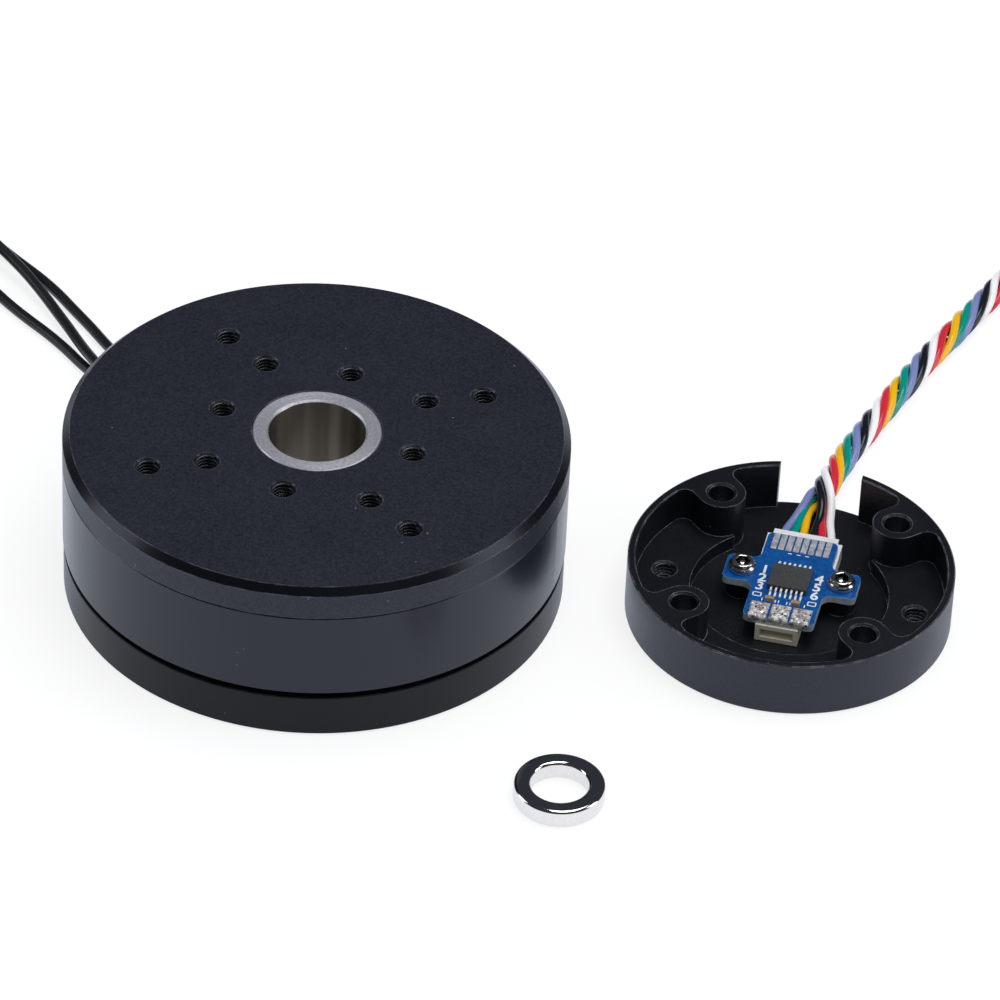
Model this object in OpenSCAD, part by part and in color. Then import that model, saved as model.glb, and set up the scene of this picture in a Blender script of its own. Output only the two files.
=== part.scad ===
// Hollow-shaft gimbal motor, with its encoder cover, its ring magnet and their leads laid out.
// Millimetres. The origin is the centre of the motor's underside, and +Z runs up the shaft.

/* [Motor case] */
// Outer diameter of the turning case
motor_d = 63; // [61:0.5:66]
// Height from the underside to the top face
motor_h = 22.7; // [22.5:0.1:23.5]
// Height of the fixed base that shows under the gap
base_h = 5.8; // [5.5:0.1:6.1]
// Open gap between the base and the turning case
case_gap = 0.85; // [0.6:0.05:1]
// Height of the cap above its seam
cap_h = 4.35; // [4.1:0.05:4.7]
// Chamfer round the top face
cap_chamfer = 0.9; // [0.4:0.1:1.4]
// Thickness of the cap's plate, which the threads need
plate_t = 3; // [2.8:0.1:3.2]
// Wall of the black band between cap and gap
band_t = 1.5; // [1.2:0.1:1.8]
// Thickness of the base's floor
floor_t = 3; // [2.6:0.1:3.2]
// Wall of the base
base_wall = 1.6; // [1.3:0.1:1.9]

/* [Bolt patterns] */
// Major diameter of the tapped holes
thread_d = 3; // [2.5:0.5:3]
// Circle of the four tapped holes on the cap's cross axes
cap_small_pcd = 25; // [24:0.5:26]
// Circle of the four tapped holes between them
cap_large_pcd = 30; // [29:0.5:32]
// Long side of the cap's rectangle of tapped holes
cap_rect_w = 34; // [33:0.2:36]
// Short side of that rectangle
cap_rect_d = 28.4; // [27.6:0.2:30]
// Circle of the holes that the encoder cover bolts to
cover_pcd = 32; // [31.5:0.1:32.5]
// Outer circle of tapped holes in the base
base_pcd = 48; // [47:0.5:50]

/* [Hollow shaft and bearings] */
// Bore through the shaft
bore_d = 12; // [10:0.5:12.5]
// Outer diameter of the shaft in its bearings
shaft_d = 15; // [14:0.5:15.5]
// Diameter of the shaft's head, which shows as a ring
head_d = 16; // [15.8:0.1:16.6]
// Outer diameter of a bearing
bearing_d = 24; // [23.5:0.5:24.5]
// Width of a bearing
bearing_w = 5; // [4.5:0.5:5]
// Diameter of a bearing ball
ball_d = 2; // [1.6:0.1:2.1]
// Balls in one bearing
ball_count = 13; // [9:1:14]

/* [Stator and magnets] */
// Room between the laminations and the cap's plate, for the ends of the coils
end_room = 4.25; // [4.05:0.05:4.55]
// Teeth of the stator
tooth_count = 12; // [9:3:12]
// Width of a tooth
tooth_w = 4.2; // [3.6:0.2:4.6]
// Magnets in the turning ring
magnet_count = 14; // [10:2:16]
// Thickness of a magnet
magnet_t = 1.76; // [1.5:0.05:2.2]
// Air gap between magnets and teeth
air_gap = 0.5; // [0.3:0.05:0.8]
// Wall of the steel ring behind the magnets
flux_t = 1.7; // [1.4:0.1:2]

/* [Motor leads] */
// Diameter of one silicone lead
lead_d = 1.4; // [1.2:0.1:1.6]
// Length of each lead from the base to its plug
lead_length = 610; // [560:10:640]

/* [Encoder cover] */
// Outer diameter of the cover
cover_d = 41; // [40.5:0.5:44]
// Height of the cover
cover_h = 7.7; // [7.2:0.1:8.5]
// Wall of the cover
cover_wall = 1; // [0.8:0.1:1.3]
// Thickness of the thin floor
cover_floor = 1; // [0.8:0.1:1.2]
// Height of the ledges that hold the tapped holes
ledge_h = 3; // [2.6:0.1:3.4]
// Diameter of the recess between the ledges
recess_d = 25; // [24:0.5:25.5]
// Diameter of a bolt post
post_d = 6.2; // [5.6:0.1:6.4]
// Clearance hole through a post
post_hole_d = 3.4; // [3.2:0.1:3.6]
// Width of the notch that the cable leaves by
notch_w = 10.6; // [8:0.2:12]

/* [Encoder board] */
// Width of the circuit board
board_w = 9; // [8.6:0.1:9.6]
// Length of the circuit board
board_l = 17; // [16.6:0.1:17.4]
// Thickness of the circuit board
board_t = 1; // [0.8:0.1:1.2]
// Distance between the board's two screws
screw_pitch = 12.7; // [12.4:0.1:13]
// Diameter of the screws that hold the board
screw_d = 2; // [1.6:0.1:2.2]

/* [Encoder cable and magnet] */
// Diameter of the twisted cable
cable_d = 3.3; // [3.1:0.1:3.6]
// Length of the cable from the board to its far plug
cable_length = 300; // [280:5:320]
// Outer diameter of the ring magnet
ring_d = 11.2; // [10:0.2:11.8]
// Hole of the ring magnet
ring_hole_d = 7; // [5:0.5:8]
// Height of the ring magnet
ring_h = 2.5; // [2:0.1:3]

/* [Hidden] */
$fn = 72;

// How far a cutting shape runs past the face that it cuts
overrun = 1;
// Radial clearance of pieces that are pressed or glued together
fit = 0.02;
// Share of a width that lies on one side of its middle
half_share = 0.5;

// Case
case_r = motor_d / 2;
// The base is this much smaller in radius than the turning case
base_inset = 0.1;
base_r = case_r - base_inset;
// Small broken edges of the turned parts
edge = 0.12;
foot_edge = 0.3;
band_z0 = base_h + case_gap;
seam_z = motor_h - cap_h;
plate_z0 = motor_h - plate_t;
band_ri = case_r - band_t;
// Depth to which the cap's spigot reaches into the band
spigot_h = 0.8;
spigot_wall = 1.6;
cap_fillet = 0.7;
thread_chamfer = 0.15;

// Bearings: the lower one sits above the retaining ring, the upper one just under the cap
race_land = 1.35;
pitch_r = (shaft_d + bearing_d) / 4;
ball_play = 0.06;
shaft_r = shaft_d / 2 - fit;
seat_r = bearing_d / 2 + fit;
seat_lip = 1.1;
shaft_end = 0.3;
clip_t = 0.8;
clip_play = 0.02;
clip_depth = 0.4;
clip_w = 1.8;
clip_gap_angle = 50;
clip_lug_d = 2.2;
clip_eye_d = 1;
clip_end = 0.5;
shim_t = 0.25;
clip_z0 = shaft_end + clip_end;
lower_z0 = clip_z0 + clip_t + shim_t;
lower_z1 = lower_z0 + bearing_w;
cap_to_bearing = 0.45;
upper_z1 = plate_z0 - cap_to_bearing;
upper_z0 = upper_z1 - bearing_w;
race_edge = 0.2;
shield_t = 0.25;
shield_play = 0.15;
cage_t = 0.45;
cage_h = 3;
pocket_play = 0.08;
bore_edge = 0.3;

// Magnets, laminations and coils, from the outside in
flux_ro = band_ri - fit;
flux_ri = flux_ro - flux_t;
magnet_ro = flux_ri - fit;
magnet_ri = magnet_ro - magnet_t;
stator_r = magnet_ri - air_gap;
flux_setback = 0.1;
magnet_setback = 0.2;
magnet_overhang = 0.5;
magnet_gap_angle = 2.4;
flux_z0 = band_z0 + flux_setback;
magnet_z0 = flux_z0 + magnet_setback;
stack_z0 = magnet_z0 + magnet_overhang;
stack_h = plate_z0 - end_room - stack_z0;
magnet_h = stack_h + 2 * magnet_overhang;
stack_mid = stack_z0 + stack_h / 2;
hub_wall = 2.25;
hub_r = bearing_d / 2 + hub_wall;
yoke_t = 3.3;
yoke_r = hub_r + fit + yoke_t;
tip_t = 1.5;
tip_angle = 24;
tip_fit = 0.1;
insulator_t = 0.7;
insulator_wall = 0.6;
insulator_rim = 1.9;
liner_t = 0.4;
coil_r0 = yoke_r + insulator_wall;
coil_r1 = stator_r - tip_t - insulator_t;
// A coil is wound in three steps that grow towards the tip
coil_steps = 3;
coil_t = 1.6;
coil_growth = 0.3;
coil_corner = 1.1;
coil_half_w = tooth_w / 2 + liner_t + fit + coil_t + (coil_steps - 1) * coil_growth;
coil_end = sqrt(coil_r1 ^ 2 - coil_half_w ^ 2) - fit;

// Where the leads leave the base
exit_angle = 145;
lead_pitch = 2.1;
lead_z = floor_t + 1.2;
sleeve_t = 0.18;
sleeve_l = 3.2;
lip_t = 0.9;
lip_overlap = 0.4;
slot_side = 0.55;
slot_sill = 0.15;
slot_w = 2 * lead_pitch + lead_d + 2 * slot_side;
slot_fit = 0.03;
exit_r = base_r + lip_t;
lead_start_r = stator_r - 0.2 * sleeve_l;

// Coils of lead and cable that are put away, each tied once
coil_gap = 0.6;
tie_t = 0.35;
tie_w = 2.5;
tie_play = 0.12;
ring_steps = 24;
tail_steps = 12;
lead_coil_at = [-88, 35];
lead_coil_r = 23.6;
lead_coil_start = 65;
lead_pitch_r = lead_d + coil_gap;
lead_layer = lead_d + 0.4;
lead_coil_z = lead_d / 2 + tie_t + tie_play;
lead_tie_angle = 320;
plug_pitch = 2.54;
plug_l = 12;
plug_t = 2.5;
plug_side = 0.2;
plug_cavity_l = 8;
plug_cavity_w = 1.7;
contact_w = 1.5;
contact_l = 6;
contact_wall = 0.25;
contact_setback = 0.8;
cable_coil_at = [92, 97];
cable_coil_r = 23;
cable_coil_start = 168;
cable_pitch_r = cable_d + 0.8;
cable_coil_z = cable_d / 2 + tie_t + tie_play;
cable_tie_angle = 100;
far_l = 7.5;
far_t = 3.4;
far_way = 1.5;
far_side = 0.8;
far_cavity_l = 5;
far_cavity_w = 1;
far_contact_w = 0.9;
far_contact_l = 4;
far_contact_wall = 0.2;
far_setback = 0.6;
// A tail leaves its coil inwards, turns round and runs into its plug near the middle
tail_fan_share = [0.2, 0.9];
tail_drop_share = [0.5, 1];
lead_tail_turn = 231;
lead_tail_angle = 110;
lead_tail_r = 4;
lead_tail_handle = 8;
lead_tail_l = 22;
cable_tail_turn = 211;
cable_tail_angle = 100;
cable_tail_r = 7;
cable_tail_handle = 8;
cable_tail_l = 24.5;

// Routes of the leads and the cable where they lie free, each point with its height above lying flat
lead_route_1 = [
    [-28.6, 22.6, 3.4], [-31.9, 25.3, 2.8], [-35.1, 28.3, 1.8], [-38.2, 31.3, 0.7], [-41.2, 34.2, 0.1],
    [-44.4, 37, 0], [-47.9, 39.8, 0], [-51.3, 42.5, 0], [-54.7, 44.8, 0], [-59.3, 47.4, 0.1],
    [-64.1, 49.8, 0.7], [-68.7, 52, 1.8], [-73.3, 54.2, 2.4]
];
lead_route_2 = [
    [-30.9, 19.1, 3.4], [-34.1, 21.8, 3.3], [-37.4, 24.8, 2.8], [-40.6, 28, 2.1], [-43.5, 31.2, 1.4],
    [-46.4, 34.5, 0.9], [-49.4, 37.6, 0.7], [-52.5, 40.4, 1], [-55.8, 43, 1.5], [-59.2, 45.3, 2],
    [-63.8, 47.8, 3], [-68.5, 50.5, 3.9], [-73.2, 53.7, 4.4]
];
lead_route_3 = [
    [-29.7, 20.8, 3.3], [-33, 22.9, 2.2], [-36.3, 25, 0.9], [-39.5, 27, 0.2], [-42.5, 29, 0],
    [-45.9, 31.5, 0], [-49.3, 33.7, 0], [-52.8, 35.7, 0], [-56.2, 37.8, 0], [-59.6, 40.2, 0],
    [-63.2, 43.3, 0], [-67.2, 47.4, 0.1], [-72.2, 52.8, 0.3]
];
cable_route = [
    [56.6, 30, 1.1], [56.4, 34.5, 1.1], [56.4, 39, 0.7], [56.7, 44, 0.2], [57.3, 49, 0],
    [58.2, 54.5, 0], [59.2, 60, 0], [60.3, 65.5, 0], [61.5, 71, 0], [62.9, 76.5, 0],
    [64.3, 82, 0], [65.7, 88, 0], [67.4, 94.5, 0.2]
];
// Place of each lead at the base, its layer in the coil and its way in the plug
lead_side = [-1, 1, 0];
lead_level = [1, 2, 0];
lead_fan = [0, 1, -1];

// Encoder cover, lying open side up beside the motor
cover_at = [58, 14.5];
cover_turn = 5;
cover_r = cover_d / 2;
cover_ri = cover_r - cover_wall;
cover_edge = 0.25;
web_fillet = 1.3;
head_recess_d = 5.6;
standoff_d = 3.8;
screw_y = 1.1;
board_lift = 0.5;
board_z0 = ledge_h + board_lift;
board_z1 = board_z0 + board_t;
board_y = 0.6;
board_corner = 0.8;
ear_w = 4.9;
ear_reach = 2.15;
ear_fillet = 1.3;
screw_head_d = 3.5;
screw_head_h = 1.3;
screw_socket_d = 1.75;
chip_w = 5;
chip_l = 4.4;
chip_t = 0.85;
chip_lift = 0.1;
pin_count = 7;
pin_pitch = 0.65;
pin_w = 0.24;
pin_t = 0.15;
pin_reach = 1.3;
pad_count = 8;
pad_pitch = 0.96;
pad_w = 0.74;
pad_l = 3.1;
pad_t = 0.05;
pad_inset = 0.1;
solder_count = 3;
solder_pitch = 2.7;
solder_w = 2.45;
solder_l = 2.9;
solder_t = 0.3;
solder_inset = 0.1;
solder_corner = 0.35;
capacitor_l = 1.1;
capacitor_w = 0.5;
capacitor_x = -0.1;
capacitor_y = -4.3;
capacitor_pitch = 3.3;
socket_w = 9.6;
socket_l = 5.6;
socket_out = 1.1;
socket_wall = 0.6;
socket_play = 0.05;
inserted_w = 8.3;
inserted_out = 1.1;
way_pitch = 1.25;
way_count = 6;
wire_d = 1.2;
spare_w = 5.4;
spare_l = 4.4;
spare_out = 0.3;
under_gap = 0.1;
under_z0 = cover_floor + under_gap;
under_t = board_z0 - under_z0;

// Ring magnet
ring_at = [42.2, -30];
ring_edge = 0.3;

black = [0.10, 0.10, 0.13];
band_black = [0.13, 0.13, 0.16];
steel = [0.66, 0.65, 0.63];
copper = [0.72, 0.40, 0.20];
magnet_grey = [0.55, 0.56, 0.58];
white = [0.93, 0.93, 0.94];
cream = [0.86, 0.83, 0.72];
board_blue = [0.02, 0.24, 0.56];

// Small helpers

module ring(ro, ri, z0, z1) {
    translate([0, 0, z0])
        linear_extrude(z1 - z0)
            difference() {
                circle(ro);
                circle(ri);
            }
}

// A wedge of the plane round +X, wide enough to cut out to radius r
module wedge(angle, r) {
    reach = r / cos(angle / 2);
    polygon([
        [0, 0],
        [reach * cos(angle / 2), -reach * sin(angle / 2)],
        [reach * cos(angle / 2), reach * sin(angle / 2)]
    ]);
}

module arc_plate(ro, ri, angle) {
    intersection() {
        difference() {
            circle(ro);
            circle(ri);
        }
        wedge(angle, ro);
    }
}

module rounded_plate(w, l, corner) {
    square([w - 2 * corner, l], center = true);
    square([w, l - 2 * corner], center = true);
    for (sx = [-1, 1])
        for (sy = [-1, 1])
            translate([sx * (w / 2 - corner), sy * (l / 2 - corner)])
                circle(corner);
}

module on_circle(count, pcd, first = 0) {
    for (k = [0 : count - 1])
        rotate(first + 360 * k / count)
            translate([pcd / 2, 0, 0])
                children();
}

// A tapped hole from z0 up to z1, with both mouths broken
module tapped_hole(z0, z1) {
    r = thread_d / 2;
    mouth = thread_chamfer + overrun;
    translate([0, 0, z0 - overrun])
        cylinder(h = z1 - z0 + 2 * overrun, r = r);
    translate([0, 0, z1 - thread_chamfer])
        cylinder(h = mouth, r1 = r, r2 = r + mouth);
    translate([0, 0, z0 - overrun])
        cylinder(h = mouth, r1 = r + mouth, r2 = r);
}

// Paths and tubes

function unit(v) = v / norm(v);
function turned(v, a) = [v[0] * cos(a) - v[1] * sin(a), v[0] * sin(a) + v[1] * cos(a)];
function heading(a) = [cos(a), sin(a), 0];
function at_height(p, z) = [p[0], p[1], z];
function eased(t, span) =
    let (u = min(max((t - span[0]) / (span[1] - span[0]), 0), 1)) u * u * (3 - 2 * u);
function path_length(p) = len(p) < 2 ? 0 : path_sum(p, len(p) - 1);
function path_sum(p, i) = i == 0 ? 0 : norm(p[i] - p[i - 1]) + path_sum(p, i - 1);
function bezier(a, b, c, d, t) =
    pow(1 - t, 3) * a + 3 * t * pow(1 - t, 2) * b + 3 * t * t * (1 - t) * c + t * t * t * d;

// Directions along a path, with the first and the last given
function tangents(p, first, last) = [
    for (i = [0 : len(p) - 1])
        i == 0 ? first : i == len(p) - 1 ? last : unit(p[i + 1] - p[i - 1])
];

// One closed tube along a path: rings with a flat at the bottom, sides and two end faces
module tube(p, d, sides, first, last) {
    t = tangents(p, first, last);
    n = len(p);
    corners = [
        for (i = [0 : n - 1])
            let (side = unit(cross(t[i], [0, 0, 1])), up = cross(side, t[i]))
                for (k = [0 : sides - 1])
                    let (a = 90 + 180 / sides + 360 * k / sides)
                        p[i] + d / 2 * (cos(a) * side + sin(a) * up)
    ];
    skin = [
        for (i = [0 : n - 2])
            for (k = [0 : sides - 1])
                let (a = i * sides + k, b = i * sides + (k + 1) % sides)
                    for (f = [[a, b, b + sides], [a, b + sides, a + sides]])
                        f
    ];
    start_face = [for (k = [1 : sides - 2]) [0, k + 1, k]];
    end_face = [for (k = [1 : sides - 2]) [(n - 1) * sides, (n - 1) * sides + k, (n - 1) * sides + k + 1]];
    polyhedron(points = corners, faces = concat(start_face, skin, end_face), convexity = 10);
}

// Turns of a flat spiral that hold the length l, from the outer radius r with the pitch p
function spiral_turns(l, r, p) = (r - sqrt(r * r - p * l / PI)) / p;

// A flat spiral from the angle a, winding inwards; way is 1 or -1
function spiral(at, r, pitch, turns, a, way, z) =
    let (steps = ceil(turns * ring_steps))
        [for (i = [0 : steps])
            let (share = i / steps, angle = a + way * 360 * turns * share, q = r - pitch * turns * share)
                [at[0] + q * cos(angle), at[1] + q * sin(angle), z]];

// Where a tail ends: the middle of the plug's back
function tail_end(at, e, way, r, lead) = at + r * turned([1, 0], e + way * lead);

// The tail of a coil: it fans out to its own way first and then comes down to its height z1
function tail(at, re, e, way, z0, z1, r, lead, turn, handle, aside, d) =
    let (
        a = at + re * turned([1, 0], e),
        a_dir = turned([1, 0], e + way * 90),
        to = tail_end(at, e, way, r, lead),
        to_dir = turned([1, 0], e + way * turn),
        c = to - d * to_dir
    )
        concat(
            [for (i = [1 : tail_steps])
                let (
                    t = i / tail_steps,
                    q = bezier(a, a + handle * a_dir, c - handle * to_dir, c, t),
                    before = bezier(a, a + handle * a_dir, c - handle * to_dir, c, t - 0.01),
                    s = q + aside * eased(t, tail_fan_share) * turned(unit(q - before), 90),
                    z = z0 + (z1 - z0) * eased(t, tail_drop_share)
                )
                    at_height(s, z)],
            [at_height(to + aside * turned(to_dir, 90), z1)]
        );

// The least distance between turns of one path, less the tube's own diameter
function least_gap(p, d, skip) = min([
    for (i = [0 : len(p) - 1])
        for (j = [i + skip : 1 : len(p) - 1])
            norm(p[i] - p[j]) - d
]);

// The free stretch of lead k, from the base to its coil
lead_dir = turned([1, 0], exit_angle);
lead_coil_first = lead_coil_at + lead_coil_r * turned([1, 0], lead_coil_start);
lead_routes = [lead_route_1, lead_route_2, lead_route_3];
function lead_exit(k) = exit_r * lead_dir + lead_side[k] * lead_pitch * turned(lead_dir, 90);
function lead_coil_height(k) = lead_coil_z + lead_level[k] * lead_layer;
function lead_path(k) = concat(
    [at_height(lead_exit(k), lead_z)],
    [for (q = lead_routes[k]) [q[0], q[1], q[2] + lead_d / 2]],
    [at_height(lead_coil_first, lead_coil_height(k))]
);
lead_turns = spiral_turns(
    lead_length - path_length(lead_path(0)) - lead_tail_l,
    lead_coil_r,
    lead_pitch_r
);
lead_end_angle = lead_coil_start + 360 * lead_turns;
lead_end_r = lead_coil_r - lead_pitch_r * lead_turns;
function lead_wound(k) = concat(
    spiral(lead_coil_at, lead_coil_r, lead_pitch_r, lead_turns, lead_coil_start, 1, lead_coil_height(k)),
    tail(
        lead_coil_at, lead_end_r, lead_end_angle, 1, lead_coil_height(k), plug_t / 2,
        lead_tail_r, lead_tail_angle, lead_tail_turn, lead_tail_handle, lead_fan[k] * plug_pitch, lead_d
    )
);

// The free stretch of the cable, from the board's plug to its coil
cable_out_y = board_y + board_l / 2 + socket_out + inserted_out;
cable_first = cover_at + turned([0, cable_out_y], cover_turn);
cable_coil_first = cable_coil_at + cable_coil_r * turned([1, 0], cable_coil_start);
cable_path = concat(
    [at_height(cable_first, cover_floor + under_gap + cable_d / 2)],
    [for (q = cable_route) [q[0], q[1], q[2] + cable_d / 2]],
    [at_height(cable_coil_first, cable_coil_z)]
);
cable_turns = spiral_turns(
    cable_length - path_length(cable_path) - cable_tail_l,
    cable_coil_r,
    cable_pitch_r
);
cable_end_angle = cable_coil_start - 360 * cable_turns;
cable_end_r = cable_coil_r - cable_pitch_r * cable_turns;
cable_wound = concat(
    spiral(cable_coil_at, cable_coil_r, cable_pitch_r, cable_turns, cable_coil_start, -1, cable_coil_z),
    tail(
        cable_coil_at, cable_end_r, cable_end_angle, -1, cable_coil_z, cable_d / 2,
        cable_tail_r, cable_tail_angle, cable_tail_turn, cable_tail_handle, 0, cable_d
    )
);

echo(lead_lengths = [for (k = [0 : 2]) path_length(lead_path(k)) + path_length(lead_wound(k))]);
echo(lead_coil_gaps = [for (k = [0 : 2]) least_gap(lead_wound(k), lead_d, 8)]);
echo(lead_turns = lead_turns);
echo(cable_length = path_length(cable_path) + path_length(cable_wound));
echo(cable_coil_gap = least_gap(cable_wound, cable_d, 8));
echo(cable_turns = cable_turns);

// Base

shoulder_r = hub_r + 1.4;
base_hole_depth = 2.6;

module base_profile() {
    polygon([
        [seat_r, 0], [base_r - foot_edge, 0], [base_r, foot_edge], [base_r, base_h - edge],
        [base_r - edge, base_h], [base_r - base_wall, base_h], [base_r - base_wall, floor_t],
        [shoulder_r, floor_t], [shoulder_r, stack_z0], [hub_r, stack_z0], [hub_r, upper_z1],
        [seat_r, upper_z1], [seat_r, upper_z0], [seat_r - seat_lip, upper_z0],
        [seat_r - seat_lip, lower_z1], [seat_r, lower_z1]
    ]);
}

module blind_tapped_hole(depth) {
    r = thread_d / 2;
    mouth = thread_chamfer + overrun;
    translate([0, 0, -overrun]) {
        cylinder(h = depth + overrun, r = r);
        cylinder(h = mouth, r1 = r + mouth, r2 = r);
    }
}

module base_housing() {
    color(black)
        difference() {
            rotate_extrude()
                base_profile();
            on_circle(4, cover_pcd, 45)
                blind_tapped_hole(base_hole_depth);
            on_circle(4, base_pcd)
                blind_tapped_hole(base_hole_depth);
            rotate(exit_angle)
                translate([base_r - 2 * base_wall, -slot_w / 2, floor_t + slot_sill])
                    cube([3 * base_wall, slot_w, base_h]);
        }
}

module lead_grommet() {
    grommet_z0 = floor_t + slot_sill + slot_fit;
    grommet_h = base_h - grommet_z0 - slot_fit;
    body_w = slot_w - 2 * slot_fit;
    lips_w = body_w + 2 * lip_overlap;
    inner_r = base_r - base_wall;
    color(black)
        rotate(exit_angle)
            difference() {
                union() {
                    translate([inner_r - lip_t, -body_w / 2, grommet_z0])
                        cube([base_wall + 2 * lip_t, body_w, grommet_h]);
                    difference() {
                        translate([inner_r, -lips_w / 2, grommet_z0])
                            cube([base_wall + lip_t, lips_w, grommet_h]);
                        cylinder(h = motor_h, r = base_r + slot_fit);
                    }
                    intersection() {
                        translate([inner_r - lip_t, -lips_w / 2, grommet_z0])
                            cube([lip_t, lips_w, grommet_h]);
                        cylinder(h = motor_h, r = inner_r - slot_fit);
                    }
                }
                for (k = [-1 : 1])
                    translate([inner_r - 2 * lip_t, k * lead_pitch, lead_z])
                        rotate([0, 90, 0])
                            cylinder(h = base_wall + 5 * lip_t, r = lead_d / 2 + fit);
            }
}

module inner_leads() {
    color(black)
        rotate(exit_angle)
            for (k = [-1 : 1])
                translate([lead_start_r, k * lead_pitch, lead_z])
                    rotate([0, 90, 0])
                        cylinder(h = exit_r - lead_start_r, r = lead_d / 2);
}

module lead_sleeves() {
    color(black)
        rotate(exit_angle)
            for (k = [-1 : 1])
                translate([lead_start_r - sleeve_t, k * lead_pitch, lead_z])
                    rotate([0, 90, 0])
                        difference() {
                            cylinder(h = sleeve_l, r = lead_d / 2 + sleeve_t);
                            translate([0, 0, -overrun])
                                cylinder(h = sleeve_l + 2 * overrun, r = lead_d / 2 + fit / 2);
                        }
}

// Stator

module at_teeth() {
    for (k = [0 : tooth_count - 1])
        rotate(360 * (k + half_share) / tooth_count)
            children();
}

module stator_core() {
    color(steel)
        translate([0, 0, stack_z0])
            linear_extrude(stack_h)
                difference() {
                    union() {
                        circle(yoke_r);
                        at_teeth() {
                            translate([hub_r, -tooth_w / 2])
                                square([stator_r - tip_t / 2 - hub_r, tooth_w]);
                            arc_plate(stator_r, stator_r - tip_t, tip_angle);
                        }
                    }
                    circle(hub_r + fit);
                }
}

// Where a liner starts across the tooth, on its far or its near side
function liner_y(side) = side * (tooth_w / 2 + fit) + (side - 1) * (liner_t - fit) / 2;

// An insulator in its own frame: its plate lies on the stack's face at z = 0 and its walls rise
module insulator() {
    plate_r = yoke_r + insulator_wall;
    color(white) {
        linear_extrude(insulator_t)
            difference() {
                union() {
                    circle(plate_r);
                    at_teeth() {
                        translate([yoke_r, -tooth_w / 2 - liner_t])
                            square([coil_r1 - yoke_r + insulator_wall / 2, tooth_w + 2 * liner_t]);
                        arc_plate(stator_r - tip_fit, coil_r1, tip_angle - 1);
                    }
                }
                circle(shoulder_r + tip_fit);
            }
        translate([0, 0, insulator_t])
            linear_extrude(insulator_rim) {
                difference() {
                    circle(plate_r);
                    circle(plate_r - insulator_wall);
                }
                at_teeth()
                    arc_plate(coil_r1 + insulator_wall, coil_r1, tip_angle - 1);
            }
        at_teeth()
            for (side = [-1, 1])
                translate([yoke_r + fit, liner_y(side), fit - stack_h / 2])
                    cube([coil_r1 - yoke_r, liner_t - fit, stack_h / 2]);
    }
}

module upper_insulator() {
    translate([0, 0, stack_z0 + stack_h])
        insulator();
}

module lower_insulator() {
    translate([0, 0, stack_z0])
        mirror([0, 0, 1])
            insulator();
}

module stator_windings() {
    hole_w = tooth_w + 2 * liner_t + 2 * fit;
    hole_h = stack_h + 2 * insulator_t + 2 * fit;
    from_r = coil_r0 + fit;
    step_l = (coil_end - from_r) / coil_steps;
    color(copper)
        translate([0, 0, stack_mid])
            at_teeth()
                for (i = [0 : coil_steps - 1])
                    translate([from_r + i * step_l, 0, 0])
                        rotate([90, 0, 90])
                            linear_extrude(step_l + (i < coil_steps - 1 ? fit : 0))
                                difference() {
                                    rounded_plate(
                                        hole_w + 2 * (coil_t + i * coil_growth),
                                        hole_h + 2 * (coil_t + i * coil_growth),
                                        coil_corner,
                                        $fn = 16
                                    );
                                    square([hole_w, hole_h], center = true);
                                }
}

// Bearings, each in its own frame from z = 0

module race_groove() {
    translate([pitch_r, bearing_w / 2])
        circle(ball_d / 2 + ball_play, $fn = 36);
}

module bearing_outer() {
    ro = bearing_d / 2;
    ri = ro - race_land;
    color(steel)
        rotate_extrude()
            difference() {
                polygon([
                    [ri, 0], [ro - race_edge, 0], [ro, race_edge],
                    [ro, bearing_w - race_edge], [ro - race_edge, bearing_w], [ri, bearing_w]
                ]);
                race_groove();
            }
}

module bearing_inner() {
    ri = shaft_d / 2;
    ro = ri + race_land;
    color(steel)
        rotate_extrude()
            difference() {
                polygon([
                    [ri, race_edge], [ri + race_edge, 0], [ro, 0],
                    [ro, bearing_w], [ri + race_edge, bearing_w], [ri, bearing_w - race_edge]
                ]);
                race_groove();
            }
}

module bearing_shields() {
    ro = bearing_d / 2 - race_land - fit;
    ri = shaft_d / 2 + race_land + shield_play;
    color(steel) {
        ring(ro, ri, shield_play, shield_play + shield_t);
        ring(ro, ri, bearing_w - shield_play - shield_t, bearing_w - shield_play);
    }
}

module bearing_balls() {
    color(steel)
        on_circle(ball_count, 2 * pitch_r)
            translate([0, 0, bearing_w / 2])
                sphere(ball_d / 2, $fn = 24);
}

module bearing_cage() {
    color(cream)
        difference() {
            ring(pitch_r + cage_t, pitch_r - cage_t, (bearing_w - cage_h) / 2, (bearing_w + cage_h) / 2);
            on_circle(ball_count, 2 * pitch_r)
                translate([-2 * cage_t, 0, bearing_w / 2])
                    rotate([0, 90, 0])
                        cylinder(h = 4 * cage_t, r = ball_d / 2 + pocket_play);
        }
}

module upper_bearing_outer() {
    translate([0, 0, upper_z0])
        bearing_outer();
}

module upper_bearing_inner() {
    translate([0, 0, upper_z0])
        bearing_inner();
}

module upper_bearing_shields() {
    translate([0, 0, upper_z0])
        bearing_shields();
}

module upper_bearing_balls() {
    translate([0, 0, upper_z0])
        bearing_balls();
}

module upper_bearing_cage() {
    translate([0, 0, upper_z0])
        bearing_cage();
}

module lower_bearing_outer() {
    translate([0, 0, lower_z0])
        bearing_outer();
}

module lower_bearing_inner() {
    translate([0, 0, lower_z0])
        bearing_inner();
}

module lower_bearing_shields() {
    translate([0, 0, lower_z0])
        bearing_shields();
}

module lower_bearing_balls() {
    translate([0, 0, lower_z0])
        bearing_balls();
}

module lower_bearing_cage() {
    translate([0, 0, lower_z0])
        bearing_cage();
}

// Turning case

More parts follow.
